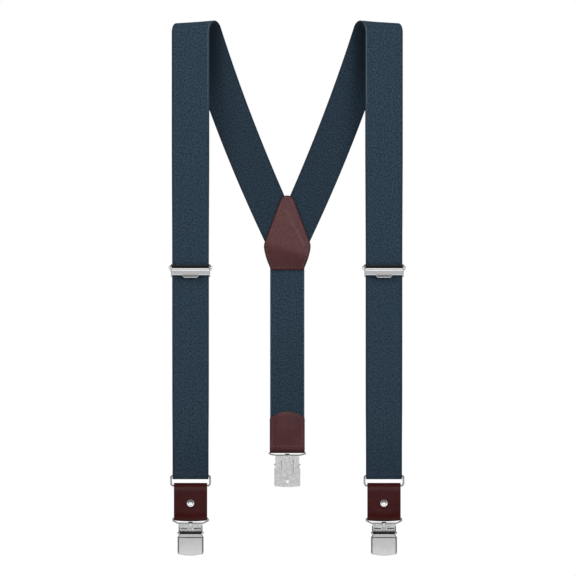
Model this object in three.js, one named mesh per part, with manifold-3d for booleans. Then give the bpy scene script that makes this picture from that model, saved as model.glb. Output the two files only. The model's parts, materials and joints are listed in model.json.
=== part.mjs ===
// Clip-on suspenders with a Y back, hanging from the two shoulder loops.
// Millimetres, +Z up, the front straps on the -Y side and the back on +Y. Left is the -X side, as
// seen from the front.
// The origin lies midway between the loops, level with the top of the space inside them.
import * as THREE from "three";
import { mergeVertices } from "three/addons/utils/BufferGeometryUtils.js";
import Module from "manifold-3d";

const wasm = await Module();
wasm.setup();

// ---- webbing -------------------------------------------------------------------------------
const GAP = 0.3; // clearance between pieces that touch on the real object
const WEB = 1.3; // webbing thickness
const STRAP_HALF = 17.5; // half of the 35 mm front webbing
const STRAP_HALF_AT_RING = 17.2;
const FRONT_X = 92; // centre of each front strap
const LOOP_R = 9; // shoulder loop, to the middle of the webbing
const LOOP_Z = WEB / 2 - LOOP_R; // axis of the shoulder loops
// Centre line of a back strap: it leaves the loop on a slant that steepens towards the patch.
const BACK_LEG = { x: -75.3, z: -25, slope: 0.329, bend: 0.000391 };
const SPLIT_Z = -118; // above this the front strap never meets the adjuster
const MITRE_X = 0.15; // the back straps butt together at X = 0 under the patch
const STRAP_END_Z = -229;

// ---- back: patch, single strap, leather end ------------------------------------------------
const PATCH_T = 1.2;
const BACK_HALF = 16.4;
const BACK_Y = LOOP_R + WEB + GAP; // middle of the single back strap
const BACK_TOP_Z = -203;
const BACK_END_Z = -402;
const END_HALF = 16.4;
const END_TOP_Z = -369.8;
const END_ARCH_RISE = 6.4;
const END_BAIL_Z = -406.55;

// ---- front: adjuster -----------------------------------------------------------------------
const ADJ_PIN_Y = -11.95;
const ADJ_PIN_Z = -232.1;
const ADJ_PIN_R = 0.5;
const ADJ_BARREL_R = 2;
const ADJ_LEVER_HALF = 17.6;
const ADJ_LEVER_Z = -239.9;
const ADJ_TAB_Z = -242.6;
const ADJ_SIDE_IN = 17.9; // inner faces of the side plates
const SHEET = 0.8; // thickness of all the pressed steel
const BAR_Y = -5.95; // bar that the strap's end is sewn round
const BAR_TOP_Z = -239.3;
const BAR_BOTTOM_Z = -241.7;
const FLAP_END_Z = -258;

// ---- front: ring, tab, rivet ---------------------------------------------------------------
const CHAIN_Y = -7.15; // plane of the ring, tab and bail of a front strap
const RING_TOP_Z = -430.8;
const RING_BOTTOM_Z = -440.2;
const RING_WIRE_R = 0.95;
const RING_HALF = 18.5;
const TAB_HALF = 15.85;
const TAB_HALF_T = 1.5;
const TAB_TOP_R = 2.5;
const TAB_END_R = 2.25;
const RIVET_Z = -456.6;
const RIVET_POST_R = 1.4;
const RIVET_CAP_R = 3.5;
const BAIL_Z = -470.95;

// ---- bail and clip -------------------------------------------------------------------------
const BAIL_WIRE_R = 0.62;
const BAIL_DROP = 4.9; // from the bail's long bar to its short bar
const BAIL_SHORT_HALF = 12.25;
const CLIP_BAR_Y = 3.4; // the short bar, seen from the clip's pivot
const CLIP_BAR_Z = 9.1;
const CLIP_PIN_R = 0.6;
const CLIP_UPPER_HALF = 11.4;
const CLIP_LOWER_HALF = 12.3;
const CLIP_STEP_Z = -3.3;
const CLIP_BOTTOM_Z = -20.4;
const PEG_Z = -16.1;
const LEVER_PAD_HALF = 12.1;
const LEVER_PAD_TOP_Z = -4.1;
const LEVER_PAD_BOTTOM_Z = -21.9;
const LEVER_PAD_SAG = 2.6;

// ---- materials -----------------------------------------------------------------------------
const finishes = {
  webbing: { color: 0x2d3d4a, roughness: 0.9, metalness: 0 },
  leather: { color: 0x4a2828, roughness: 0.55, metalness: 0 },
  dark_leather: { color: 0x3a1a1a, roughness: 0.5, metalness: 0 },
  chrome: { color: 0xc8c8ca, roughness: 0.18, metalness: 1 },
  zinc: { color: 0xb4b4b4, roughness: 0.4, metalness: 1 },
  plastic: { color: 0xf0f0ee, roughness: 0.5, metalness: 0 },
};

function piece(name, geometry, finish) {
  const mesh = new THREE.Mesh(geometry, new THREE.MeshStandardMaterial(finishes[finish]));
  mesh.name = name;
  return mesh;
}

// ---- solids: joining, cutting, extruding -----------------------------------------------------
function toSolid(geometry) {
  const bare = geometry.clone();
  bare.deleteAttribute("normal");
  bare.deleteAttribute("uv");
  const merged = mergeVertices(bare, 1e-4);
  const vertProperties = new Float32Array(merged.attributes.position.array);
  const triVerts = new Uint32Array(merged.index.array);
  return new wasm.Manifold(new wasm.Mesh({ numProp: 3, vertProperties, triVerts }));
}

function toGeometry(solid) {
  const mesh = solid.getMesh();
  const geometry = new THREE.BufferGeometry();
  geometry.setAttribute("position", new THREE.BufferAttribute(new Float32Array(mesh.vertProperties), 3));
  geometry.setIndex(new THREE.BufferAttribute(new Uint32Array(mesh.triVerts), 1));
  geometry.computeVertexNormals();
  return geometry;
}

function join(...geometries) {
  return toGeometry(geometries.map(toSolid).reduce((whole, next) => whole.add(next)));
}

function cut(geometry, ...tools) {
  return toGeometry(tools.map(toSolid).reduce((whole, next) => whole.subtract(next), toSolid(geometry)));
}

function common(geometry, other) {
  return toGeometry(toSolid(geometry).intersect(toSolid(other)));
}

// A shape drawn in (Y, Z) becomes a prism from x0 to x1.
function extrudeX(shape, x0, x1, curveSegments = 8) {
  const options = { depth: x1 - x0, bevelEnabled: false, curveSegments };
  const geometry = new THREE.ExtrudeGeometry(shape, options);
  const [x, y, z] = [new THREE.Vector3(1, 0, 0), new THREE.Vector3(0, 1, 0), new THREE.Vector3(0, 0, 1)];
  geometry.applyMatrix4(new THREE.Matrix4().makeBasis(y, z, x));
  return geometry.translate(x0, 0, 0);
}

// A shape drawn in (X, Z) becomes a plate from y0 to y1.
function extrudeY(shape, y0, y1, curveSegments = 8) {
  const options = { depth: y1 - y0, bevelEnabled: false, curveSegments };
  const geometry = new THREE.ExtrudeGeometry(shape, options);
  geometry.rotateX(Math.PI / 2);
  return geometry.translate(0, y1, 0);
}

function box(x0, x1, y0, y1, z0, z1) {
  const geometry = new THREE.BoxGeometry(x1 - x0, y1 - y0, z1 - z0);
  return geometry.translate((x0 + x1) / 2, (y0 + y1) / 2, (z0 + z1) / 2);
}

function rodX(radius, x0, x1, y, z, sides = 16) {
  const geometry = new THREE.CylinderGeometry(radius, radius, x1 - x0, sides);
  geometry.rotateZ(Math.PI / 2);
  return geometry.translate((x0 + x1) / 2, y, z);
}

function rodY(radius, y0, y1, x, z, sides = 20) {
  const geometry = new THREE.CylinderGeometry(radius, radius, y1 - y0, sides);
  return geometry.translate(x, (y0 + y1) / 2, z);
}

function polygon(points) {
  return new THREE.Shape(points.map(([a, b]) => new THREE.Vector2(a, b)));
}

function circle(x, y, radius) {
  return new THREE.Shape().absarc(x, y, radius, 0, 2 * Math.PI);
}

function withHoles(shape, ...holes) {
  shape.holes.push(...holes);
  return shape;
}

// Mirrors a solid in the plane X = 0 and turns its triangles over, so that it still faces out.
function mirrored(geometry) {
  const copy = geometry.clone().scale(-1, 1, 1);
  const index = copy.index.array;
  for (let i = 0; i < index.length; i += 3) {
    [index[i + 1], index[i + 2]] = [index[i + 2], index[i + 1]];
  }
  copy.computeVertexNormals();
  return copy;
}

// Joins equal rings of points into a skin, capped at both ends or closed on itself.
function skin(rings, closed) {
  const sides = rings[0].length;
  const positions = rings.flat().flatMap((p) => [p.x, p.y, p.z]);
  const index = [];
  const spans = closed ? rings.length : rings.length - 1;
  for (let i = 0; i < spans; i++) {
    const next = (i + 1) % rings.length;
    for (let j = 0; j < sides; j++) {
      const k = (j + 1) % sides;
      const [a, b, c, d] = [i * sides + j, i * sides + k, next * sides + k, next * sides + j];
      index.push(a, b, c, a, c, d);
    }
  }
  if (!closed) {
    const last = (rings.length - 1) * sides;
    for (let j = 1; j < sides - 1; j++) {
      index.push(0, j + 1, j, last, last + j, last + j + 1);
    }
  }
  const geometry = new THREE.BufferGeometry();
  geometry.setAttribute("position", new THREE.Float32BufferAttribute(positions, 3));
  geometry.setIndex(index);
  geometry.computeVertexNormals();
  return geometry;
}

// A flat band through stations { at, along, across, half }: its section is a plain rectangle.
function ribbon(stations, thickness = WEB) {
  const rings = stations.map(({ at, along, across, half }) => {
    const side = across.clone().addScaledVector(along, -across.dot(along)).normalize();
    const face = new THREE.Vector3().crossVectors(along, side).normalize();
    const corner = (s, f) => at.clone().addScaledVector(side, s * half)
      .addScaledVector(face, (f * thickness) / 2);
    return [corner(-1, -1), corner(1, -1), corner(1, 1), corner(-1, 1)];
  });
  return skin(rings, false);
}

// Points and directions round a closed outline in (X, Z) whose corners [x, z, radius] are rounded.
function roundedOutline(corners, arcSteps = 5) {
  const path = [];
  corners.forEach(([x, z, radius], i) => {
    const here = new THREE.Vector2(x, z);
    const [px, pz] = corners.at(i - 1);
    const [nx, nz] = corners[(i + 1) % corners.length];
    const into = here.clone().sub(new THREE.Vector2(px, pz)).normalize();
    const out = new THREE.Vector2(nx, nz).sub(here).normalize();
    const turn = Math.atan2(into.cross(out), into.dot(out));
    const setback = radius * Math.tan(Math.abs(turn) / 2);
    const start = here.clone().addScaledVector(into, -setback);
    const inward = new THREE.Vector2(-into.y, into.x).multiplyScalar(Math.sign(turn));
    const centre = start.clone().addScaledVector(inward, radius);
    for (let step = 0; step <= arcSteps; step++) {
      const angle = (turn * step) / arcSteps;
      const spoke = start.clone().sub(centre).rotateAround(new THREE.Vector2(), angle);
      path.push({ at: spoke.add(centre), along: into.clone().rotateAround(new THREE.Vector2(), angle) });
    }
  });
  return path;
}

// Round wire bent to a closed outline in (X, Z), in the plane Y = 0.
function wireFrame(corners, radius, sides = 10) {
  const rings = roundedOutline(corners).map(({ at, along }) => {
    const ring = [];
    for (let j = 0; j < sides; j++) {
      const angle = (2 * Math.PI * j) / sides;
      const inPlane = radius * Math.cos(angle);
      ring.push(new THREE.Vector3(
        at.x - along.y * inPlane,
        -radius * Math.sin(angle),
        at.y + along.x * inPlane,
      ));
    }
    return ring;
  });
  return skin(rings, true);
}

// ---- webbing ----------------------------------------------------------------------------------
const UP = new THREE.Vector3(0, 0, 1);
const ACROSS = new THREE.Vector3(1, 0, 0);

// Left strap: up the front, over the shoulder loop and down on a slant to the middle of the back.
function shoulderStrap() {
  const legAt = (z) => {
    const drop = BACK_LEG.z - z;
    const slant = Math.atan(BACK_LEG.slope + 2 * BACK_LEG.bend * drop);
    return {
      at: new THREE.Vector3(BACK_LEG.x + (BACK_LEG.slope + BACK_LEG.bend * drop) * drop, LOOP_R, z),
      along: new THREE.Vector3(Math.sin(slant), 0, -Math.cos(slant)),
      across: new THREE.Vector3(Math.cos(slant), 0, Math.sin(slant)),
      slant,
    };
  };
  const legTop = legAt(LOOP_Z);
  const loopShift = legTop.at.x + FRONT_X; // sideways travel of the strap while it goes over the loop
  const stations = [{ at: new THREE.Vector3(-FRONT_X, -LOOP_R, SPLIT_Z), along: UP, across: ACROSS }];
  const arcSteps = 20;
  for (let step = 0; step < arcSteps; step++) {
    const a = (Math.PI * step) / arcSteps;
    const slant = legTop.slant * ((1 - Math.cos(a)) / 2) ** 1.7;
    stations.push({
      at: new THREE.Vector3(
        -FRONT_X + (loopShift * step) / arcSteps,
        -LOOP_R * Math.cos(a),
        LOOP_Z + LOOP_R * Math.sin(a),
      ),
      along: new THREE.Vector3(0, Math.sin(a), Math.cos(a)),
      across: new THREE.Vector3(Math.cos(slant), 0, Math.sin(slant)),
    });
  }
  const legSteps = 10;
  for (let step = 0; step <= legSteps; step++) {
    stations.push(legAt(LOOP_Z + ((STRAP_END_Z - 16 - LOOP_Z) * step) / legSteps));
  }
  stations.forEach((station) => (station.half = STRAP_HALF));
  return common(ribbon(stations), box(-200, -MITRE_X, -50, 50, STRAP_END_Z, 50));
}

// Part of the front strap below the split: down through the adjuster and round the ring's bar.
function frontRun() {
  const foldR = RING_WIRE_R + 0.25 + WEB / 2;
  const at = (y, z) => new THREE.Vector3(0, y, z);
  const stations = [
    { at: at(-LOOP_R, SPLIT_Z - GAP), along: UP.clone().negate(), half: STRAP_HALF },
    { at: at(-LOOP_R, -300), along: UP.clone().negate(), half: STRAP_HALF },
    { at: at(-LOOP_R, -415), along: UP.clone().negate(), half: STRAP_HALF_AT_RING },
  ];
  const arcSteps = 12;
  for (let step = 0; step <= arcSteps; step++) {
    const a = (Math.PI * step) / arcSteps;
    stations.push({
      at: at(CHAIN_Y - foldR * Math.cos(a), RING_TOP_Z - foldR * Math.sin(a)),
      along: new THREE.Vector3(0, Math.sin(a), -Math.cos(a)),
      half: STRAP_HALF_AT_RING,
    });
  }
  stations.forEach((station) => (station.across = ACROSS));
  return ribbon(stations);
}

// The rest of the same strap: up behind, over the adjuster's bar and down to the sewn end.
function returnRun() {
  const foldR = RING_WIRE_R + 0.25 + WEB / 2;
  const barR = SHEET / 2 + 0.1 + GAP + WEB / 2;
  const at = (y, z) => new THREE.Vector3(0, y, z);
  const stations = [
    { at: at(CHAIN_Y + foldR, RING_TOP_Z + GAP), along: UP, half: STRAP_HALF_AT_RING },
    { at: at(CHAIN_Y + foldR, RING_TOP_Z + 8), along: UP, half: STRAP_HALF_AT_RING },
    { at: at(BAR_Y + barR, -280), along: UP, half: STRAP_HALF },
  ];
  const arcSteps = 10;
  for (let step = 0; step <= arcSteps; step++) {
    const a = (Math.PI * step) / arcSteps;
    stations.push({
      at: at(BAR_Y + barR * Math.cos(a), BAR_TOP_Z + barR * Math.sin(a)),
      along: new THREE.Vector3(0, -Math.sin(a), Math.cos(a)),
      half: STRAP_HALF,
    });
  }
  stations.push({ at: at(BAR_Y - barR, FLAP_END_Z), along: UP.clone().negate(), half: STRAP_HALF });
  stations.forEach((station) => (station.across = ACROSS));
  return ribbon(stations);
}

// ---- back -------------------------------------------------------------------------------------
// Outline of the leather that joins the three straps: a narrow dome that widens to the strap's edges.
function patchShape() {
  const shape = new THREE.Shape();
  const curves = [
    [[15.4, -234.8], [16.2, -233.8], [16.8, -232]],
    [[19.2, -226.5], [21.8, -219.5], [22.3, -213]],
    [[22.4, -211], [21.8, -208.8], [21, -206.8]],
  ];
  shape.moveTo(0, -234.8);
  shape.lineTo(13.8, -234.8);
  curves.forEach((curve) => shape.bezierCurveTo(...curve.flat()));
  shape.lineTo(6.8, -169);
  shape.bezierCurveTo(4.9, -162.1, -4.9, -162.1, -6.8, -169);
  const back = [[13.8, -234.8], ...curves.flat()].reverse().map(([x, z]) => [-x, z]);
  shape.lineTo(...back[0]);
  for (let i = 1; i < back.length; i += 3) {
    shape.bezierCurveTo(...back.slice(i, i + 3).flat());
  }
  return shape;
}

function patchLeather(y0) {
  return extrudeY(patchShape(), y0, y0 + PATCH_T, 6);
}

// Leather folded round the back bail, both layers sewn over the strap's end, with an arched top.
function leatherEnd() {
  const halfStrap = WEB / 2 + GAP;
  const [top, z] = [END_TOP_Z + 1, END_BAIL_Z];
  const profile = new THREE.Shape();
  profile.moveTo(halfStrap, top);
  profile.lineTo(halfStrap, BACK_END_Z - GAP);
  profile.lineTo(-halfStrap, BACK_END_Z - GAP);
  profile.lineTo(-halfStrap, top);
  profile.lineTo(-TAB_END_R, top);
  profile.lineTo(-TAB_END_R, z);
  profile.absarc(0, z, TAB_END_R, Math.PI, 2 * Math.PI);
  profile.lineTo(TAB_END_R, top);
  const folded = extrudeX(withHoles(profile, circle(0, z, BAIL_WIRE_R + GAP)), -END_HALF, END_HALF);
  const archR = (END_HALF ** 2 + END_ARCH_RISE ** 2) / (2 * END_ARCH_RISE);
  const archHalfAngle = Math.asin(END_HALF / archR);
  const outline = new THREE.Shape();
  outline.moveTo(-END_HALF, -420);
  outline.lineTo(END_HALF, -420);
  outline.absarc(0, END_TOP_Z - archR, archR, Math.PI / 2 - archHalfAngle, Math.PI / 2 + archHalfAngle);
  return common(folded, extrudeY(outline, -20, 20, 16)).translate(0, BACK_Y, 0);
}

// ---- adjuster: frame, pin, lever ----------------------------------------------------------------
function adjusterFrame() {
  const plateY = -LOOP_R + WEB / 2 + GAP;
  const halves = [[16.6, -228.7], [21.2, -232.3], [18.9, -236.2]];
  const hexagon = polygon([...halves, ...halves.map(([x, z]) => [-x, z]).reverse()]);
  const side = polygon([
    [-13.15, -231.3], [-12.4, -230.7], [plateY + SHEET, -229.4], [BAR_Y + 0.5, -238.5],
    [BAR_Y + 0.5, BAR_BOTTOM_Z], [-7, BAR_BOTTOM_Z], [-13.15, -233.6],
  ]);
  side.holes.push(circle(ADJ_PIN_Y, ADJ_PIN_Z, ADJ_PIN_R + GAP));
  const outer = ADJ_SIDE_IN + SHEET;
  return join(
    extrudeY(hexagon, plateY, plateY + SHEET),
    extrudeX(side, ADJ_SIDE_IN, outer),
    extrudeX(side, -outer, -ADJ_SIDE_IN),
    box(-outer + 0.1, outer - 0.1, BAR_Y - 0.5, BAR_Y + 0.5, BAR_BOTTOM_Z, BAR_TOP_Z),
  );
}

function headedPin(radius, headR, headIn, headOut, y, z) {
  return join(
    rodX(radius, -headIn - 0.1, headIn + 0.1, y, z, 12),
    rodX(headR, -headOut, -headIn, y, z, 12),
    rodX(headR, headIn, headOut, y, z, 12),
  );
}

// Pressed lever: a barrel round the pin, a low ridge that bites the strap, a plate with a thumb tab.
function adjusterLever() {
  const [half, y] = [ADJ_LEVER_HALF, ADJ_PIN_Y];
  const plate = polygon([
    [-half, ADJ_PIN_Z], [-half, ADJ_LEVER_Z], [-7.9, ADJ_LEVER_Z], [-5.8, ADJ_TAB_Z],
    [5.8, ADJ_TAB_Z], [7.9, ADJ_LEVER_Z], [half, ADJ_LEVER_Z], [half, ADJ_PIN_Z],
  ]);
  const ridge = polygon([[y + 1.6, ADJ_PIN_Z - 0.8], [y + 2.1, ADJ_PIN_Z - 0.1], [y + 1.6, ADJ_PIN_Z + 0.8]]);
  const body = join(
    rodX(ADJ_BARREL_R, -half, half, y, ADJ_PIN_Z, 20),
    extrudeY(plate, y - 1.05, y - 0.25),
    extrudeX(ridge, -half + 0.6, half - 0.6),
  );
  return cut(body, rodX(ADJ_PIN_R + GAP, -half - 1, half + 1, y, ADJ_PIN_Z, 12));
}

// ---- ring, leather tab, rivet -------------------------------------------------------------------
function ring() {
  const depth = RING_TOP_Z - RING_BOTTOM_Z;
  const corners = [[-RING_HALF, 0, 1.6], [-RING_HALF, -depth, 1.6], [RING_HALF, -depth, 1.6], [RING_HALF, 0, 1.6]];
  return wireFrame(corners, RING_WIRE_R);
}

// A strip of leather folded round the ring's lower bar and the bail's long bar, pinched between them.
function leatherTab() {
  const length = RING_BOTTOM_Z - BAIL_Z;
  const profile = new THREE.Shape();
  profile.absarc(0, 0, TAB_TOP_R, 0, Math.PI);
  profile.bezierCurveTo(-TAB_TOP_R, -3, -TAB_HALF_T, -3.5, -TAB_HALF_T, -7);
  profile.lineTo(-TAB_HALF_T, -length + 6.5);
  profile.bezierCurveTo(-TAB_HALF_T, -length + 3.3, -TAB_END_R, -length + 2.8, -TAB_END_R, -length);
  profile.absarc(0, -length, TAB_END_R, Math.PI, 2 * Math.PI);
  profile.bezierCurveTo(TAB_END_R, -length + 2.8, TAB_HALF_T, -length + 3.3, TAB_HALF_T, -length + 6.5);
  profile.lineTo(TAB_HALF_T, -7);
  profile.bezierCurveTo(TAB_HALF_T, -3.5, TAB_TOP_R, -3, TAB_TOP_R, 0);
  withHoles(profile, circle(0, 0, RING_WIRE_R + GAP), circle(0, -length, BAIL_WIRE_R + GAP));
  const rivetHole = rodY(RIVET_POST_R + GAP, -5, 5, 0, RIVET_Z - RING_BOTTOM_Z, 16);
  return cut(extrudeX(profile, -TAB_HALF, TAB_HALF, 7), rivetHole);
}

// The rivet's front half: a low dome and a post, turned about Y.
function rivetCap() {
  const seat = TAB_HALF_T + 0.2;
  const profile = [[0, 1.2], [RIVET_POST_R, 1.2], [RIVET_POST_R, -seat], [RIVET_CAP_R, -seat],
    [RIVET_CAP_R, -seat - 0.4], [3, -seat - 0.95], [1.8, -seat - 1.3], [0, -seat - 1.4]];
  return new THREE.LatheGeometry(profile.map(([r, y]) => new THREE.Vector2(r, y)).reverse(), 20);
}

// Its back half: a flat socket that the post is pressed into.
function rivetSocket() {
  const seat = TAB_HALF_T + 0.2;
  const post = RIVET_POST_R + GAP;
  const profile = [[0, seat + 0.4], [post, seat + 0.4], [post, seat], [3.3, seat], [3.3, seat + 0.4],
    [2.7, seat + 0.8], [0, seat + 0.9]];
  return new THREE.LatheGeometry(profile.map(([r, y]) => new THREE.Vector2(r, y)), 20);
}

// ---- bail: a wire trapezoid that hangs from its long bar -------------------------------------------
function bail(longHalf, shoulder) {
  return wireFrame([
    [-longHalf, 0, 1], [-longHalf, -shoulder, 1], [-BAIL_SHORT_HALF, -BAIL_DROP, 1.2],
    [BAIL_SHORT_HALF, -BAIL_DROP, 1.2], [longHalf, -shoulder, 1], [longHalf, 0, 1],
  ], BAIL_WIRE_R);
}

// ---- clip, drawn round its pivot with the lever on the -Y side --------------------------------------
function clipBase() {
  const [upper, lower, back] = [CLIP_UPPER_HALF, CLIP_LOWER_HALF, 4.1];
  const corner = 1.8;
  const plate = new THREE.Shape();
  plate.moveTo(-upper, CLIP_BAR_Z - 1.2);
  plate.lineTo(-upper, CLIP_STEP_Z + 0.5);
  plate.lineTo(-lower, CLIP_STEP_Z);
  plate.absarc(-lower + corner, CLIP_BOTTOM_Z + corner, corner, Math.PI, 1.5 * Math.PI);
  plate.absarc(lower - corner, CLIP_BOTTOM_Z + corner, corner, 1.5 * Math.PI, 2 * Math.PI);
  plate.lineTo(lower, CLIP_STEP_Z);
  plate.lineTo(upper, CLIP_STEP_Z + 0.5);
  plate.lineTo(upper, CLIP_BAR_Z - 1.2);
  plate.holes.push(circle(0, PEG_Z, 1.8));
  const ear = new THREE.Shape();
  ear.moveTo(back + SHEET, CLIP_STEP_Z + 0.5);
  ear.lineTo(back + SHEET, 6.6);
  ear.lineTo(back - 0.6, 6.6);
  ear.absarc(0, 0, 1.9, 0.75 * Math.PI, 1.5 * Math.PI);
  const pinHole = rodX(CLIP_PIN_R + GAP, -15, 15, 0, 0, 12);
  const hook = extrudeX(circle(CLIP_BAR_Y, CLIP_BAR_Z, 1.5), -1.7, 1.7, 10);
  const hookBack = common(
    extrudeX(circle(CLIP_BAR_Y, CLIP_BAR_Z, 1.5), -2.9, 2.9, 10),
    box(-4, 4, CLIP_BAR_Y, 6, 5, 12),
  );
  const body = join(
    extrudeY(plate, back, back + SHEET, 5),
    extrudeX(ear, upper - SHEET, upper, 6),
    extrudeX(ear, -upper, -upper + SHEET, 6),
    box(lower - SHEET, lower, 2.9, back + 0.1, -18.4, -5),
    box(-lower, -lower + SHEET, 2.9, back + 0.1, -18.4, -5),
    box(-2.9, 2.9, back, back + SHEET, 7, CLIP_BAR_Z),
    hook,
    hookBack,
  );
  return cut(body, pinHole, rodX(BAIL_WIRE_R + GAP, -5, 5, CLIP_BAR_Y, CLIP_BAR_Z, 16));
}

function clipLever() {
  const half = LEVER_PAD_HALF;
  const neck = CLIP_UPPER_HALF - SHEET - GAP;
  const pad = new THREE.Shape();
  pad.moveTo(-half + 0.6, LEVER_PAD_TOP_Z);
  pad.lineTo(-half, LEVER_PAD_TOP_Z - 0.6);
  pad.lineTo(-half, LEVER_PAD_BOTTOM_Z + LEVER_PAD_SAG + 0.9);
  pad.bezierCurveTo(-half + 0.6, LEVER_PAD_BOTTOM_Z + LEVER_PAD_SAG - 0.4, -6, LEVER_PAD_BOTTOM_Z,
    0, LEVER_PAD_BOTTOM_Z);
  pad.bezierCurveTo(6, LEVER_PAD_BOTTOM_Z, half - 0.6, LEVER_PAD_BOTTOM_Z + LEVER_PAD_SAG - 0.4,
    half, LEVER_PAD_BOTTOM_Z + LEVER_PAD_SAG + 0.9);
  pad.lineTo(half, LEVER_PAD_TOP_Z - 0.6);
  pad.lineTo(half - 0.6, LEVER_PAD_TOP_Z);
  const body = join(
    rodX(1.5, -neck, neck, 0, 0, 20),
    box(-neck, neck, -1.5, -0.7, -6.5, 0),
    extrudeY(pad, -2.3, -1.4, 8),
    box(half - SHEET, half, -1.5, 0.4, -18, -5),
    box(-half, -half + SHEET, -1.5, 0.4, -18, -5),
  );
  return cut(body, rodX(CLIP_PIN_R + GAP, -15, 15, 0, 0, 12));
}

// Cross-ribbed face of a plastic grip, drawn in (Y, Z): flat on one side, toothed on the other.
function ribbedProfile(flatY, toothY, topZ, bottomZ, teeth) {
  const valleyY = toothY + 0.4 * Math.sign(flatY - toothY);
  const pitch = (topZ - bottomZ) / teeth;
  const points = [[flatY, topZ]];
  for (let i = 0; i < teeth; i++) {
    points.push([valleyY, topZ - i * pitch], [toothY, topZ - (i + 0.5) * pitch]);
  }
  points.push([valleyY, bottomZ], [flatY, bottomZ]);
  return polygon(flatY > toothY ? points : points.reverse());
}

function baseGrip() {
  const profile = ribbedProfile(3.8, 1.7, -5.2, -19.6, 6);
  return join(extrudeX(profile, -11.2, 11.2), rodY(1.5, 3.7, 4.75, 0, PEG_Z, 16));
}

function leverGrip() {
  return extrudeX(ribbedProfile(-1.1, 1.4, -6.8, -19, 5), -11, 11);
}

function clip(side) {
  const group = new THREE.Group();
  group.add(
    piece(`${side}_clip_base`, clipBase(), "zinc"),
    piece(`${side}_clip_base_grip`, baseGrip(), "plastic"),
    piece(`${side}_clip_pin`, headedPin(CLIP_PIN_R, 1, 11.7, 12.5, 0, 0), "zinc"),
    piece(`${side}_clip_lever`, clipLever(), "chrome"),
    piece(`${side}_clip_lever_grip`, leverGrip(), "plastic"),
  );
  return group;
}

// ---- one front strap's hardware, built round X = 0 ---------------------------------------------------
function frontSide(side) {
  const group = new THREE.Group();
  const chain = new THREE.Group();
  const ringMesh = piece(`${side}_ring`, ring(), "chrome");
  const tabMesh = piece(`${side}_leather_tab`, leatherTab(), "dark_leather");
  const capMesh = piece(`${side}_rivet_cap`, rivetCap(), "chrome");
  const socketMesh = piece(`${side}_rivet_socket`, rivetSocket(), "zinc");
  const bailMesh = piece(`${side}_bail`, bail(17.5, 2.4), "chrome");
  const clipGroup = clip(side);
  ringMesh.position.z = RING_TOP_Z;
  tabMesh.position.z = RING_BOTTOM_Z;
  capMesh.position.z = RIVET_Z;
  socketMesh.position.z = RIVET_Z;
  bailMesh.position.z = BAIL_Z;
  clipGroup.position.set(0, -CLIP_BAR_Y, BAIL_Z - BAIL_DROP - CLIP_BAR_Z);
  chain.add(ringMesh, tabMesh, capMesh, socketMesh, bailMesh, clipGroup);
  chain.position.y = CHAIN_Y;
  group.add(
    piece(`${side}_strap_front_run`, frontRun(), "webbing"),
    piece(`${side}_strap_return_run`, returnRun(), "webbing"),
    piece(`${side}_adjuster_frame`, adjusterFrame(), "zinc"),
    piece(`${side}_adjuster_pin`, headedPin(ADJ_PIN_R, 0.9, 18.95, 19.6, ADJ_PIN_Y, ADJ_PIN_Z), "zinc"),
    piece(`${side}_adjuster_lever`, adjusterLever(), "chrome"),
    chain,
  );
  return group;
}

// ---- the whole part ------------------------------------------------------------------------------------
const suspenders = new THREE.Group();

const leftStrap = shoulderStrap();
suspenders.add(piece("left_strap", leftStrap, "webbing"));
suspenders.add(piece("right_strap", mirrored(leftStrap), "webbing"));

const leftSide = frontSide("left");
leftSide.position.x = -FRONT_X;
const rightSide = frontSide("right");
rightSide.position.x = FRONT_X;
suspenders.add(leftSide, rightSide);

const backStrapBox = box(-BACK_HALF, BACK_HALF, BACK_Y - WEB / 2, BACK_Y + WEB / 2, BACK_END_Z, BACK_TOP_Z);
suspenders.add(
  piece("patch_inner", patchLeather(LOOP_R - WEB / 2 - GAP - PATCH_T), "leather"),
  piece("patch_outer", patchLeather(BACK_Y + WEB / 2 + GAP), "leather"),
  piece("back_strap", backStrapBox, "webbing"),
  piece("back_leather_end", leatherEnd(), "leather"),
);

const backBail = piece("back_bail", bail(18.05, 2.5), "chrome");
backBail.position.set(0, BACK_Y, END_BAIL_Z);
const backClip = clip("back");
backClip.rotation.z = Math.PI;
backClip.position.set(0, BACK_Y + CLIP_BAR_Y, END_BAIL_Z - BAIL_DROP - CLIP_BAR_Z);
suspenders.add(backBail, backClip);

export default suspenders;
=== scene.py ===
"""Y-back suspenders, hanging from their shoulder loops: the looks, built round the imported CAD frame.

Shapes are worked out in millimetres, in the part's own frame (+Z up, the front straps on the -Y side),
and turned into metres when a mesh is made. Left is the -X side, as seen from the front.
"""
import bisect
import json
import math

import bmesh
import bpy
from mathutils import Matrix, Vector, noise


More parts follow.
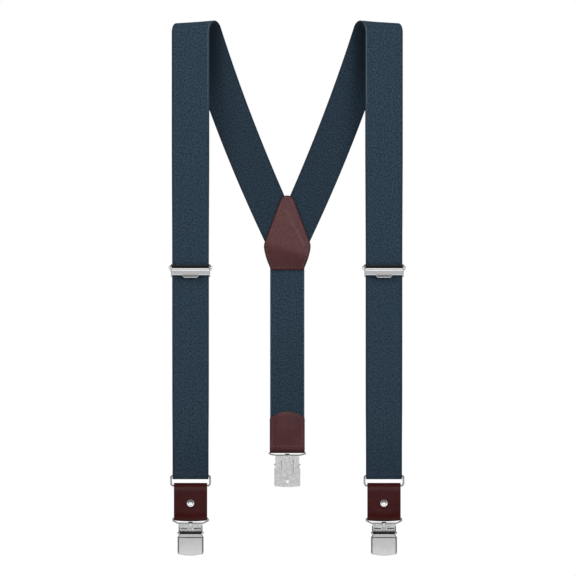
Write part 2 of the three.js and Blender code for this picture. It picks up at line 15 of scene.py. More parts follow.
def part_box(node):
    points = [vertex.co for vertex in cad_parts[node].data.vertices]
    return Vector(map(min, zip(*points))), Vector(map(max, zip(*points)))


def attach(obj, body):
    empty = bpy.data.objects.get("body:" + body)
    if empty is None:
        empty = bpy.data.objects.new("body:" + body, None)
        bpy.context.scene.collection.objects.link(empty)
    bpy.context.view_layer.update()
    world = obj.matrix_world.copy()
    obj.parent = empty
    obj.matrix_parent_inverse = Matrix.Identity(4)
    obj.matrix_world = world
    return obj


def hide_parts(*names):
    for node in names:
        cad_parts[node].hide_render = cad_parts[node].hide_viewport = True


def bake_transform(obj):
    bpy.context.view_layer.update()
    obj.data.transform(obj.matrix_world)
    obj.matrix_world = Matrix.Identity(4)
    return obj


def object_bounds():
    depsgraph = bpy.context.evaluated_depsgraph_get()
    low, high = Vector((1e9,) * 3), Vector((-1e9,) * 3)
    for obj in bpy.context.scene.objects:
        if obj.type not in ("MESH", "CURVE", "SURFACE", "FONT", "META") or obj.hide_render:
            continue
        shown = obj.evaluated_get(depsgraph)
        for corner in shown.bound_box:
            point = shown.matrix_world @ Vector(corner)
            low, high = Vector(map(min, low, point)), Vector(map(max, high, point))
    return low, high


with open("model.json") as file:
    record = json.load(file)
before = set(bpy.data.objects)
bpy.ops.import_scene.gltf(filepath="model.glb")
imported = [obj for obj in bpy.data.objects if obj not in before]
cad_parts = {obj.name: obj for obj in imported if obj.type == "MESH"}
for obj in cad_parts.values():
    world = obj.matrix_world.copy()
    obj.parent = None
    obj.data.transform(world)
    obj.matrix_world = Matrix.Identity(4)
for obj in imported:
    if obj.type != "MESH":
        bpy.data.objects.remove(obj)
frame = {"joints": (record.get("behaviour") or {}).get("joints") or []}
cad_low, cad_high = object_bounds()

MM = 0.001
SIDES = ("left", "right")
X_AXIS, Y_AXIS, Z_AXIS = Vector((1, 0, 0)), Vector((0, 1, 0)), Vector((0, 0, 1))
JOINTS = {joint["name"]: joint for joint in frame["joints"]}


def pivot(name):
    """A joint's place, in millimetres."""
    return Vector(JOINTS[name]["pos_m"]) / MM


def node_box(name):
    """A CAD node's lowest and highest corner, in millimetres."""
    low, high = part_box(name)
    return Vector(low) / MM, Vector(high) / MM


def lerp(a, b, t):
    return a + (b - a) * t


def smooth(edge0, edge1, value):
    """0 at edge0, 1 at edge1, with an even slope in and out."""
    t = min(1.0, max(0.0, (value - edge0) / (edge1 - edge0)))
    return t * t * (3 - 2 * t)


# ---- camera, light, floor ------------------------------------------------------------------------

LIGHT_TARGET = (0, 0, -0.25)


def make_camera():
    """Square on to the front, from far enough away that the front and back straps share one scale."""
    data = bpy.data.cameras.new("camera")
    camera = bpy.data.objects.new("camera", data)
    bpy.context.scene.collection.objects.link(camera)
    distance, front_plane, frame_width = 9.0, -0.009, 0.5478
    data.sensor_width = 36
    data.lens = data.sensor_width * (distance + front_plane) / frame_width
    data.clip_end = 30
    camera.location = (0.0007, -distance, -0.252)
    camera.rotation_euler = (math.radians(90), 0, 0)
    bpy.context.scene.camera = camera


def make_light(name, location, size, energy):
    """A soft square light aimed at the middle of the object. Its own shape isn't mirrored in the metal."""
    data = bpy.data.lights.new(name, "AREA")
    data.shape = "SQUARE"
    data.size = size
    data.energy = energy
    light = bpy.data.objects.new(name, data)
    light.visible_glossy = False
    light.location = location
    bpy.context.scene.collection.objects.link(light)
    towards = Vector(LIGHT_TARGET) - light.location
    light.rotation_euler = towards.to_track_quat("-Z", "Y").to_euler()


def make_world():
    """White behind the object; for light and reflections, a pale studio with darker bands."""
    world = bpy.data.worlds.new("studio")
    bpy.context.scene.world = world
    world.use_nodes = True
    world.node_tree.nodes.clear()
    nodes = Nodes(world.node_tree)
    parts = nodes.parts(nodes.add("ShaderNodeTexCoord").outputs["Generated"])
    up = nodes.ramp(nodes.math("MULTIPLY_ADD", parts["Z"], 0.5, 0.5), (0.0, 1.5), (0.42, 1.8), (0.455, 1.4),
                    (0.485, 0.80), (0.525, 0.75), (0.555, 0.36), (0.59, 0.04), (0.96, 0.02), (1.0, 0.12))
    side = nodes.ramp(nodes.math("MULTIPLY_ADD", parts["X"], 0.5, 0.5), (0.0, 1.0), (0.05, 0.8),
                      (0.10, 0.25), (0.32, 0.22), (0.40, 1.0), (0.60, 1.0), (0.68, 0.22), (0.90, 0.25),
                      (0.95, 0.8), (1.0, 1.0))
    seen = nodes.add("ShaderNodeLightPath").outputs["Is Camera Ray"]
    strength = nodes.add("ShaderNodeMix", {"Factor": seen, "A": nodes.math("MULTIPLY", up, side), "B": 1.0},
                         data_type="FLOAT").outputs["Result"]
    white = nodes.add("ShaderNodeBackground", {"Color": (1, 1, 1, 1), "Strength": strength})
    output = nodes.add("ShaderNodeOutputWorld")
    nodes.feed(output.inputs["Surface"], white.outputs["Background"])


def make_floor():
    """A pale round floor under the object. It stays below the main camera's view."""
    radius, drop, sides = 0.95, 0.11, 96
    mesh = bpy.data.meshes.new("floor")
    rim = [(x, y, cad_low.z - drop) for x, y in circle(0, 0, radius, sides)]
    mesh.from_pydata(rim, [], [list(range(sides))])
    floor = bpy.data.objects.new("floor", mesh)
    bpy.context.scene.collection.objects.link(floor)
    mesh.materials.append(floor_material())


# ---- material nodes ------------------------------------------------------------------------------

class Nodes:
    """Short calls that add nodes to one tree. Most give back the output that the next one needs."""

    def __init__(self, tree):
        self.tree = tree

    def feed(self, socket, value):
        """Links an output to the socket, or sets the socket to a plain value."""
        if isinstance(value, bpy.types.NodeSocket):
            self.tree.links.new(value, socket)
        else:
            socket.default_value = value

    def add(self, kind, inputs=None, **settings):
        """A node with its settings, and its inputs, by name or number, linked or set."""
        node = self.tree.nodes.new(kind)
        for key, value in settings.items():
            setattr(node, key, value)
        for key, value in (inputs or {}).items():
            named = [socket for socket in node.inputs if socket.name == key and socket.enabled]
            self.feed(named[0] if named else node.inputs[key], value)
        return node

    def math(self, operation, *values):
        return self.add("ShaderNodeMath", dict(enumerate(values)), operation=operation).outputs[0]

    def ridges(self, value):
        """0 at each whole number and 1 half way between."""
        return self.math("ABSOLUTE", self.math("SINE", self.math("MULTIPLY", value, math.pi)))

    def ramp(self, factor, *stops):
        """Grey through (position, value) stops."""
        node = self.add("ShaderNodeValToRGB", {"Fac": factor})
        elements = node.color_ramp.elements
        while len(elements) < len(stops):
            elements.new(0.5)
        for element, (position, value) in zip(elements, stops):
            element.position = position
            element.color = (value, value, value, 1)
        return node.outputs["Color"]

    def mix(self, factor, a, b):
        """From a to b, each an output or a plain (red, green, blue)."""
        a, b = ((*colour, 1) if isinstance(colour, tuple) else colour for colour in (a, b))
        return self.add("ShaderNodeMix", {"Factor": factor, "A": a, "B": b},
                        data_type="RGBA").outputs["Result"]

    def noise(self, vector, scale, detail=3.0, roughness=0.55):
        """Noise at a scale, which is one number, or three where it is stretched."""
        if isinstance(scale, tuple):
            stretched = self.add("ShaderNodeVectorMath", {0: vector, 1: scale}, operation="MULTIPLY")
            vector, scale = stretched.outputs["Vector"], 1.0
        return self.add("ShaderNodeTexNoise", {
            "Vector": vector, "Scale": scale, "Detail": detail, "Roughness": roughness,
        }).outputs["Fac"]

    def parts(self, vector):
        return self.add("ShaderNodeSeparateXYZ", {"Vector": vector}).outputs

    def mark(self, name):
        """A value that the mesh holds for each point."""
        return self.add("ShaderNodeAttribute", attribute_name=name).outputs["Fac"]

    def weave(self):
        """The mesh's (across, along) coordinates, in metres."""
        return self.add("ShaderNodeUVMap", uv_map="weave").outputs["UV"]


class Material(Nodes):
    """A material with a Principled shader, and the calls that build its nodes."""

    def __init__(self, name):
        self.material = bpy.data.materials.new(name)
        self.material.use_nodes = True
        super().__init__(self.material.node_tree)
        self.shader = self.tree.nodes["Principled BSDF"]
        self.place = self.add("ShaderNodeTexCoord").outputs["Object"]

    def finish(self, sockets, height=None, depth=0.0, strength=1.0):
        """Feeds the shader's sockets, with a bump of a depth in millimetres."""
        for name, value in sockets.items():
            self.feed(self.shader.inputs[name], value)
        if height is not None:
            bumped = self.add("ShaderNodeBump",
                              {"Height": height, "Distance": depth * MM, "Strength": strength})
            self.feed(self.shader.inputs["Normal"], bumped.outputs["Normal"])
        return self.material


def floor_material():
    made = Material("pale_floor")
    colour = made.mix(made.noise(made.place, 40.0), (0.8342, 0.8342, 0.8342), (0.86, 0.86, 0.86))
    return made.finish({"Base Color": colour, "Roughness": 0.7})


def webbing_material():
    """Elastic webbing: fine ribs of warp in a brick pattern, a smoother darker selvedge, flecked yarn.
    The "tone" mark darkens the inner face and the lower back strap, and paints shade deep in the shoulder
    loop and where the strap folds round the ring; the "rim" mark is a pale line along an edge."""
    made = Material("elastic_webbing")
    weave = made.weave()
    parts = made.parts(weave)
    across, along = parts["X"], parts["Y"]
    rib_pitch, pick_pitch = 1.05 * MM, 0.9 * MM
    rib_place = made.math("DIVIDE", across, rib_pitch)
    odd = made.math("MULTIPLY", made.math("PINGPONG", made.math("FLOOR", rib_place), 1.0), 0.5)
    pick_place = made.math("ADD", made.math("DIVIDE", along, pick_pitch), odd)
    rib = made.math("POWER", made.ridges(rib_place), 0.55)
    pick = made.math("POWER", made.ridges(pick_place), 0.45)
    yarn = made.math("MULTIPLY", rib, pick)
    selvedge = made.add("ShaderNodeMapRange", {
        "Value": made.math("ABSOLUTE", across), "From Min": 15.6 * MM, "From Max": 16.2 * MM,
    }).outputs["Result"]

    flecks = made.ramp(made.noise(weave, (820, 640, 1), 3.0, 0.7), (0.42, 0.0), (0.58, 1.0))
    colour = made.mix(flecks, (0.0125, 0.0245, 0.0375), (0.0510, 0.0850, 0.1210))
    colour = made.mix(made.ramp(yarn, (0.25, 1.0), (0.8, 0.0)), colour, (0.0100, 0.0190, 0.0290))
    patches = made.ramp(made.noise(weave, (60, 25, 1), 2.0), (0.3, 0.0), (0.7, 0.25))
    colour = made.mix(patches, colour, (0.0200, 0.0390, 0.0580))
    colour = made.mix(made.math("MULTIPLY", selvedge, 0.45), colour, (0.0120, 0.0240, 0.0370))
    # painted shade: the tone mark darkens the inner face, deep in the shoulder loop and round the ring fold
    colour = made.mix(made.mark("tone"), colour, (0.0060, 0.0095, 0.0140))
    colour = made.mix(made.mark("rim"), colour, (0.15, 0.19, 0.22))
    fibre = made.noise(weave, (9000, 1500, 1), 2.0)
    return made.finish({
        "Base Color": colour, "Roughness": 0.88, "Sheen Weight": 0.03, "Sheen Roughness": 0.5,
        "Specular IOR Level": 0.12,
    }, made.math("MULTIPLY_ADD", fibre, 0.25, yarn), 0.16, 0.8)


def leather_material(name, dark, light, rim_colour, roughness, sheen):
    """Smooth finished leather: fine grain and creases, cloudy dye, a darker edge (the "rim" mark) that is
    burnished at cut edges and painted shade over folds and the patch's lower part, and a paler tone (the
    "tone" mark): painted highlight in places, tooled lines and marks in others."""
    made = Material(name)
    clouds = made.noise(made.place, 45.0)
    mottle = made.noise(made.place, 420.0, 3.0, 0.6)
    cells = made.add("ShaderNodeTexVoronoi", {"Vector": made.place, "Scale": 1500.0},
                     feature="DISTANCE_TO_EDGE")
    pebbles = made.ramp(cells.outputs["Distance"], (0.0, 0.0), (0.18, 1.0))
    between = made.math("MULTIPLY", made.math("SUBTRACT", 1.0, pebbles), 0.35)
    creases = made.noise(made.place, (900, 900, 300), 4.0, 0.6)

    colour = made.mix(made.ramp(clouds, (0.3, 0.0), (0.7, 1.0)), dark, light)
    colour = made.mix(made.ramp(mottle, (0.35, 0.35), (0.6, 0.0)), colour, dark)
    colour = made.mix(between, colour, tuple(0.55 * c for c in dark))
    # the tone mark paler: painted highlight on the patch and below the tab's fold, tooled lines and marks
    # elsewhere
    broken = made.math("MULTIPLY", made.mark("tone"), made.ramp(mottle, (0.30, 0.35), (0.62, 1.0)))
    colour = made.mix(broken, colour, tuple(1.15 * c + 0.022 for c in light))
    # the rim mark darker: burnished cut edges, and painted shade over folds and the patch's lower part
    colour = made.mix(made.math("MULTIPLY", made.mark("rim"), 0.9), colour, rim_colour)
    return made.finish({
        "Base Color": colour, "Specular IOR Level": sheen,
        "Roughness": made.math("MULTIPLY_ADD", mottle, 0.22, roughness - 0.11),
    }, made.math("MULTIPLY_ADD", creases, 0.5, pebbles), 0.035, 0.7)


def chrome_material(name, brightness):
    """Bright nickel plate with faint polishing lines and a little haze."""
    made = Material(name)
    haze = made.noise(made.place, 130.0, 4.0, 0.6)
    dull = (brightness, brightness, 1.02 * brightness)
    clear = (1.17 * brightness, 1.17 * brightness, 1.18 * brightness)
    hairlines = made.noise(made.place, (2500, 2500, 160))
    return made.finish({
        "Base Color": made.mix(haze, dull, clear), "Metallic": 1.0,
        "Roughness": made.math("MULTIPLY_ADD", haze, 0.12, 0.05),
    }, hairlines, 0.012, 0.5)


def plated_material():
    """Satin zinc plate on pressed steel: crystalline spangle, dull streaks and small dark pits."""
    made = Material("satin_plate")
    spangle = made.add("ShaderNodeTexVoronoi", {"Vector": made.place, "Scale": 620.0, "Randomness": 1.0})
    tone = made.parts(spangle.outputs["Color"])["X"]
    streaks = made.noise(made.place, (900, 900, 260), 4.0, 0.65)
    pits = made.noise(made.place, 1600.0, 2.0)
    colour = made.mix(tone, (0.60, 0.605, 0.62), (0.90, 0.90, 0.91))
    colour = made.mix(made.ramp(streaks, (0.38, 0.0), (0.62, 0.75)), colour, (0.93, 0.93, 0.94))
    colour = made.mix(made.ramp(pits, (0.30, 0.6), (0.40, 0.0)), colour, (0.30, 0.31, 0.33))
    return made.finish({
        "Base Color": colour, "Metallic": 1.0, "Roughness": made.math("MULTIPLY_ADD", streaks, 0.25, 0.22),
    }, made.math("MULTIPLY_ADD", tone, 0.3, pits), 0.03, 0.5)


def plastic_material():
    """White moulded plastic, faintly mottled."""
    made = Material("white_plastic")
    colour = made.mix(made.noise(made.place, 300.0), (0.86, 0.86, 0.84), (0.94, 0.94, 0.93))
    return made.finish({"Base Color": colour, "Roughness": 0.42}, made.noise(made.place, 2200.0), 0.02, 0.5)


def thread_material(name, dark, light):
    """Two-ply sewing thread: a slanting twist along each stitch."""
    made = Material(name)
    twist_pitch = 0.42 * MM
    parts = made.parts(made.weave())
    twist = made.ridges(made.math("MULTIPLY_ADD", parts["Y"], 1 / twist_pitch, parts["X"]))
    return made.finish({
        "Base Color": made.mix(twist, dark, light), "Roughness": 0.7, "Sheen Weight": 0.2,
    }, twist, 0.05, 0.8)


MATERIALS = {
    "webbing": webbing_material(),
    "patch_leather": leather_material(
        "patch_leather", (0.056, 0.018, 0.019), (0.086, 0.031, 0.032), (0.034, 0.004, 0.004), 0.42, 0.20),
    "tab_leather": leather_material(
        "tab_leather", (0.036, 0.0040, 0.0040), (0.050, 0.0070, 0.0070), (0.018, 0.0012, 0.0012), 0.36, 0.19),
    "chrome": chrome_material("bright_plate", 0.58),
    "rivet_nickel": chrome_material("rivet_nickel", 0.80),
    "zinc_plate": plated_material(),
    "grip_plastic": plastic_material(),
    "leather_thread": thread_material("leather_thread", (0.062, 0.028, 0.028), (0.145, 0.088, 0.088)),
    "webbing_thread": thread_material("webbing_thread", (0.012, 0.020, 0.030), (0.045, 0.072, 0.098)),
}


# ---- meshes --------------------------------------------------------------------------------------

NO_THICKNESS = 1e-6  # in millimetres: a sheet thinner than this has come to its edge


class Shell:
    """Points, faces and per-point values of a mesh that is put together in millimetres."""

    def __init__(self):
        self.points, self.faces, self.weave, self.rim, self.tone = [], [], [], [], []

    def point(self, place, weave=(0, 0), rim=0.0, tone=0.0):
        self.points.append(Vector(place))
        self.weave.append(weave)
        self.rim.append(rim)
        self.tone.append(tone)
        return len(self.points) - 1

    def face(self, corners):
        """A face, less any corner that comes twice."""
        corners = list(dict.fromkeys(corners))
        if len(corners) > 2:
            self.faces.append(corners)

    def skin(self, rows, around=False, closed=False, flip=False):
        """Faces between each row of points and the next. around joins the two ends of each row, and
        closed joins the last row to the first. A row of one point is a tip."""
        size = max(len(row) for row in rows)
        for low, high in zip(rows, rows[1:] + rows[:1] if closed else rows[1:]):
            for j in range(size if around else size - 1):
                k = (j + 1) % size
                quad = [low[j % len(low)], low[k % len(low)], high[k % len(high)], high[j % len(high)]]
                if flip:
                    quad = quad[::-1] if around else quad[:1] + quad[:0:-1]
                self.face(quad)

    def cap(self, rows):
        """Faces over the first and the last ring of points."""
        self.face(rows[0][::-1])
        self.face(rows[-1])

    def join(self, other, place=Matrix.Identity(4)):
        start = len(self.points)
        self.points += [place @ p for p in other.points]
        self.weave += other.weave
        self.rim += other.rim
        self.tone += other.tone
        self.faces += [[start + i for i in face] for face in other.faces]
        return self


def make_piece(name, shell, material, body, replaces=(), place=Matrix.Identity(4), sharp_deg=None):
    """Turns a shell into a Blender object that rides on a body."""
    mesh = bpy.data.meshes.new(name)
    mesh.from_pydata([place @ p * MM for p in shell.points], [], shell.faces)
    cleaned = bmesh.new()
    cleaned.from_mesh(mesh)
    bmesh.ops.recalc_face_normals(cleaned, faces=cleaned.faces)
    for edge in cleaned.edges:
        edge.smooth = sharp_deg is None or edge.calc_face_angle(0.0) < math.radians(sharp_deg)
    for face in cleaned.faces:
        face.smooth = True
    cleaned.to_mesh(mesh)
    cleaned.free()
    weave = mesh.uv_layers.new(name="weave")
    for loop in mesh.loops:
        u, v = shell.weave[loop.vertex_index]
        weave.data[loop.index].uv = (u * MM, v * MM)
    for key, values in (("rim", shell.rim), ("tone", shell.tone)):
        mesh.attributes.new(key, "FLOAT", "POINT").data.foreach_set("value", values)
    mesh.materials.append(MATERIALS[material])
    piece = bpy.data.objects.new(name, mesh)
    bpy.context.scene.collection.objects.link(piece)
    if body is not None:
        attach(piece, body)
    if replaces:
        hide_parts(*replaces)
    return piece


class Track:
    """A line that a band follows: dense points in millimetres with the band's across direction at each."""

    def __init__(self, points, across=X_AXIS, closed=False):
        self.points = [Vector(p) for p in points]
        self.across = [Vector(a) for a in across] if isinstance(across, list) else [across] * len(points)
        self.closed = closed
        if closed:
            self.points.append(self.points[0])
            self.across.append(self.across[0])
        self.runs = [0.0]
        for a, b in zip(self.points, self.points[1:]):
            self.runs.append(self.runs[-1] + (b - a).length)
        self.length = self.runs[-1]

    def place(self, run):
        """Point and across direction at a distance along the line."""
        if self.closed:
            run %= self.length
        i = min(max(bisect.bisect_right(self.runs, run) - 1, 0), len(self.runs) - 2)
        t = (run - self.runs[i]) / (self.runs[i + 1] - self.runs[i])
        return self.points[i].lerp(self.points[i + 1], t), self.across[i].lerp(self.across[i + 1], t)

    def height(self, run):
        return self.place(run)[0].z

    def at(self, run):
        """Point, across direction and face direction at a distance along the line."""
        step = 0.15
        place, across = self.place(run)
        along = self.place(run + step)[0] - self.place(run - step)[0]
        across = across.normalized()
        return place, across, along.cross(across).normalized()


def arc(centre, radius, start_deg, end_deg, count=24):
    """Points (a, b) of an arc in a plane."""
    angles = [math.radians(lerp(start_deg, end_deg, i / count)) for i in range(count + 1)]
    return [(centre[0] + radius * math.cos(a), centre[1] + radius * math.sin(a)) for a in angles]


def curve(start, control_a, control_b, end, count):
    """Points (a, b) of a cubic curve in a plane."""
    points = []
    for i in range(count + 1):
        t = i / count
        weights = ((1 - t) ** 3, 3 * t * (1 - t) ** 2, 3 * t * t * (1 - t), t ** 3)
        points.append(tuple(sum(w * p[k] for w, p in zip(weights, (start, control_a, control_b, end)))
                            for k in (0, 1)))
    return points


def in_yz(pairs):
    """(Y, Z) pairs as points at X = 0."""
    return [Vector((0, y, z)) for y, z in pairs]


def circle(x, z, radius, count=32):
    return arc((x, z), radius, 0, 360, count)[:-1]


def rim_steps(radius):
    """(distance from the edge, share of the full thickness) down a rounded edge."""
    angles = [math.radians(a) for a in (0, 20, 42, 65, 90)]
    return [(radius * (1 - math.cos(a)), math.sin(a)) for a in angles]


def edge_mark(from_edge):
    """The rim mark: 1 at a cut edge, fading out within a millimetre."""
    return 1.0 - smooth(0.05, 0.75, from_edge)


def columns(half, rim_radius, spacing, near_edge=()):
    """Places across a band, from edge to edge, each with its share of the thickness.
    near_edge adds (distance from the edge, share) pairs, such as a bead or a tooled line."""
    edge = rim_steps(rim_radius) + list(near_edge)
    inset = edge[-1][0]
    count = max(2, round(2 * (half - inset) / spacing))
    middle = [(-half + inset + 2 * (half - inset) * i / count, 1.0) for i in range(1, count)]
    return [(-half + d, s) for d, s in edge] + middle + [(half - d, s) for d, s in reversed(edge)]


def band(track, cols, thickness, step, span=None, end_rim=0.3, width=None, rise=None, weave_start=0.0,
         tone=None, rim_and_shade=None):
    """A closed sheet of the given thickness laid along a track.
    span(x) gives the distances at which the column at x starts and ends, width(run) scales the band,
    and rise(x, run) lifts it off the track. tone(x, run, face) marks either face, 1 or -1, and
    rim_and_shade(x, run) replaces the mark that otherwise runs round the edge; callers use it for edge
    marks and for painted shade in folds. The ends are rounded by end_rim, or cut flat where it is None."""
    shell = Shell()
    closed = track.closed and span is None
    tone = tone or (lambda x, run, face: 0.0)
    span = span or (lambda x: (0.0, track.length))
    flat_ends = not closed and end_rim is None
    ends = [] if closed or flat_ends else rim_steps(end_rim)
    inset = ends[-1][0] if ends else 0.0
    longest = max(span(x)[1] - span(x)[0] for x, _ in cols)
    widest = max(abs(x) for x, _ in cols)
    count = max(2, round((longest - 2 * inset) / step))
    rows = [("start", distance, share) for distance, share in ends[:-1]]
    rows += [("middle", i / count, 1.0) for i in range(count if closed else count + 1)]
    rows += [("end", distance, share) for distance, share in reversed(ends[:-1])]
    fronts, backs = [], []
    for part, value, share in rows:
        front, back = [], []
        for x, across_share in cols:
            low, high = span(x)
            run = {"start": low + value, "end": high - value,
                   "middle": lerp(low + inset, high - inset, value)}[part]
            place, across, face = track.at(run)
            half = thickness / 2 * share * across_share
            scale = width(run) if width else 1.0
            centre = place + across * x * scale
            if rise:
                centre = centre + face * rise(x, run)
            from_edge = widest - abs(x) if closed else min(widest - abs(x), run - low, high - run)
            rim = rim_and_shade(x, run) if rim_and_shade else edge_mark(from_edge)
            weave = (x, weave_start + run)
            front.append(shell.point(centre + face * half, weave, rim, tone(x, run, 1)))
            if half < NO_THICKNESS:
                back.append(front[-1])
            else:
                back.append(shell.point(centre - face * half, weave, rim, tone(x, run, -1)))
        fronts.append(front)
        backs.append(back)
    shell.skin(fronts, closed=closed)
    shell.skin(backs, closed=closed, flip=True)
    if flat_ends:
        for front, back in ((fronts[0], backs[0]), (fronts[-1], backs[-1])):
            shell.face(front + back[::-1])
    return shell


def rounded_outline(corners):
    """Points and directions round a closed outline in (X, Z) whose corners (x, z, radius) are rounded."""
    steps = 8
    path = []
    for i, (x, z, radius) in enumerate(corners):
        here = Vector((x, z))
        into = (here - Vector(corners[i - 1][:2])).normalized()
        out = (Vector(corners[(i + 1) % len(corners)][:2]) - here).normalized()
        turn = math.atan2(into.x * out.y - into.y * out.x, into.dot(out))
        start = here - into * radius * math.tan(abs(turn) / 2)
        centre = start + Vector((-into.y, into.x)) * math.copysign(radius, turn)
        for k in range(steps + 1):
            turned = Matrix.Rotation(turn * k / steps, 2)
            path.append((centre + turned @ (start - centre), turned @ into))
    return path


def wire(corners, radius):
    """Round wire bent to a closed outline in (X, Z), in the plane Y = 0."""
    shell = Shell()
    sides = 20
    rings = []
    run = 0.0
    path = rounded_outline(corners)
    for i, (at, along) in enumerate(path):
        ring = []
        for j in range(sides):
            a = 2 * math.pi * j / sides
            side = radius * math.cos(a)
            place = (at.x - along.y * side, -radius * math.sin(a), at.y + along.x * side)
            ring.append(shell.point(place, (radius * a, run)))
        rings.append(ring)
        run += (path[(i + 1) % len(path)][0] - at).length
    shell.skin(rings, around=True, closed=True)
    return shell


def turned(profile, axis, sides=48):
    """A solid turned about an axis through the origin: profile holds (radius, distance along the axis),
    and starts and ends on the axis."""
    shell = Shell()
    to_axis = Z_AXIS.rotation_difference(axis).to_matrix()
    rings = []
    for radius, height in profile:
        spots = circle(0, 0, radius, sides) if radius > 0 else [(0, 0)]
        rings.append([shell.point(to_axis @ Vector((x, y, height))) for x, y in spots])
    shell.skin(rings, around=True)
    return shell


def plate(outline, holes, thickness, bevel=0.12):
    """A flat plate with rounded edges, drawn in (X, Z), its middle in the plane Y = 0."""
    drawing = bpy.data.curves.new("plate", "CURVE")
    drawing.dimensions = "2D"
    drawing.fill_mode = "BOTH"
    drawing.extrude = thickness / 2 - bevel
    drawing.bevel_depth = bevel
    drawing.bevel_resolution = 2
    drawing.offset = -bevel
    for points in [outline, *holes]:
        spline = drawing.splines.new("POLY")
        spline.points.add(len(points) - 1)
        for slot, (x, z) in zip(spline.points, points):
            slot.co = (x, z, 0, 1)
        spline.use_cyclic_u = True
    drawn = bpy.data.objects.new("plate", drawing)
    bpy.context.scene.collection.objects.link(drawn)
    bpy.context.view_layer.update()
    mesh = bpy.data.meshes.new_from_object(drawn.evaluated_get(bpy.context.evaluated_depsgraph_get()))
    merged = bmesh.new()
    merged.from_mesh(mesh)
    bmesh.ops.remove_doubles(merged, verts=merged.verts, dist=1e-4)
    bmesh.ops.dissolve_degenerate(merged, edges=merged.edges, dist=1e-5)
    shell = Shell()
    for vertex in merged.verts:
        shell.point((vertex.co.x, -vertex.co.z, vertex.co.y), (vertex.co.x, vertex.co.y))
    merged.verts.index_update()
    shell.faces = [[v.index for v in face.verts] for face in merged.faces]
    merged.free()
    bpy.data.objects.remove(drawn)
    bpy.data.curves.remove(drawing)
    bpy.data.meshes.remove(mesh)
    return shell


def both_sides(right_half):
    """An outline given from bottom to top on the +X side, closed by its mirror image."""
    return right_half + [(-x, z) for x, z in reversed(right_half)]


ON_X = Matrix.Rotation(math.radians(90), 4, "Z")  # turns a plate drawn in (Y, Z) to face along X


def stitch_row(shell, path, pitch, radius=0.24):
    """Thread stitches along a path of (point, face direction): short bent capsules that dip in at both
    ends."""
    track = Track([place for place, _ in path], [face for _, face in path])
    stitch_share, start, rings, sides = 0.74, 0.5, 7, 8
    half_length = pitch * stitch_share / 2
    for n in range(int(track.length / pitch - start) + 1):
        middle = (n + start) * pitch
        if middle > track.length - 0.3 * pitch:
            break
        tube = []
        for r in range(rings):
            t = 2 * r / (rings - 1) - 1
            run = middle + t * half_length
            place, face = track.place(run)
            ahead = track.place(min(run + 0.1, track.length))[0]
            behind = track.place(max(run - 0.1, 0))[0]
            along = (ahead - behind).normalized()
            face = (face - along * face.dot(along)).normalized()
            side = along.cross(face)
            lift = radius * (0.55 - 1.5 * t ** 4)
            size = radius * math.sqrt(max(0.0, 1 - 0.75 * t ** 4))
            tube.append([shell.point(place + face * (lift + 0.85 * up) + side * out, (j / sides / MM, run))
                         for j, (out, up) in enumerate(circle(0, 0, size, sides))])
        shell.skin(tube, around=True)
        shell.cap(tube)


# ---- webbing -------------------------------------------------------------------------------------

WEB = 1.3  # webbing thickness
STRAP_LOW, STRAP_HIGH = node_box("left_strap_front_run")
STRAP_HALF = (STRAP_HIGH.x - STRAP_LOW.x) / 2
LOOP_R = -(STRAP_LOW.y + WEB / 2)  # of the shoulder loop, to the middle of the webbing
LOOP_Z = WEB / 2 - LOOP_R
LEG_X, LEG_Z, LEG_SLOPE, LEG_BEND = -75.3, -25.0, 0.329, 0.000391  # centre line of the left back strap
LEG_END_Z, CUT_Z = -246.0, -229.0  # the back leg is laid on past the place where it is cut
SELVEDGE = [(1.0, 1.05), (1.35, 1.0), (1.62, 0.86), (1.95, 0.99)]
RING_PIVOT = {side: pivot(f"{side}_ring_hinge") for side in SIDES}
TAB_PIVOT = {side: pivot(f"{side}_tab_hinge") for side in SIDES}
BAR_TOP = (-5.95, -239.3)  # upper edge of the adjuster's bar, that the return run turns over, in (Y, Z)
STITCH_PITCH = 3.1  # of the leather's seams


def webbing_columns(half=STRAP_HALF):
    return columns(half, 0.45, 1.9, SELVEDGE)


def waver(x, run, seed):
    """The slight unevenness of hanging webbing."""
    return 0.10 * noise.noise(Vector((x / 22, run / 38, seed)))


def back_leg(z):
    """Centre and slant of the left back strap at a height."""
    drop = LEG_Z - z
    return LEG_X + (LEG_SLOPE + LEG_BEND * drop) * drop, math.atan(LEG_SLOPE + 2 * LEG_BEND * drop)


def shoulder_track(mirror):
    """From under the patch up the slant, over the shoulder loop and down the front to round the ring.
    Returns the track and the number of its point where the strap reaches the back of the loop."""
    ring = RING_PIVOT["left"]
    spacing = 2.0
    points, across = [], []

    def lay(x, y, z, slant=0.0):
        points.append(Vector((-x if mirror else x, y, z)))
        across.append(Vector((math.cos(slant), 0, -math.sin(slant) if mirror else math.sin(slant))))

    z = LEG_END_Z
    while z < LOOP_Z - 1:
        x, slant = back_leg(z)
        lay(x, LOOP_R, z, slant)
        z += spacing
    loop_start = len(points)
    top_x, top_slant = back_leg(LOOP_Z)
    for i, (y, z) in enumerate(arc((0, LOOP_Z), LOOP_R, 0, 180, 72)):
        share = 1 - i / 72
        shift = (2.21 - 1.21 * share) * share ** 2
        lay(lerp(ring.x, top_x, shift), y, z, top_slant * share ** 2)
    z = LOOP_Z - spacing
    while z > ring.z:
        lay(ring.x, -LOOP_R, z)
        z -= spacing
    fold_r, fold_depth = ring.y + LOOP_R, 1.55
    for y, z in arc((0, 0), fold_r, 180, 360):
        lay(ring.x, ring.y + y, ring.z + fold_depth * z)
    lay(ring.x, ring.y + fold_r, ring.z + 0.6)
    return Track(points, across), loop_start


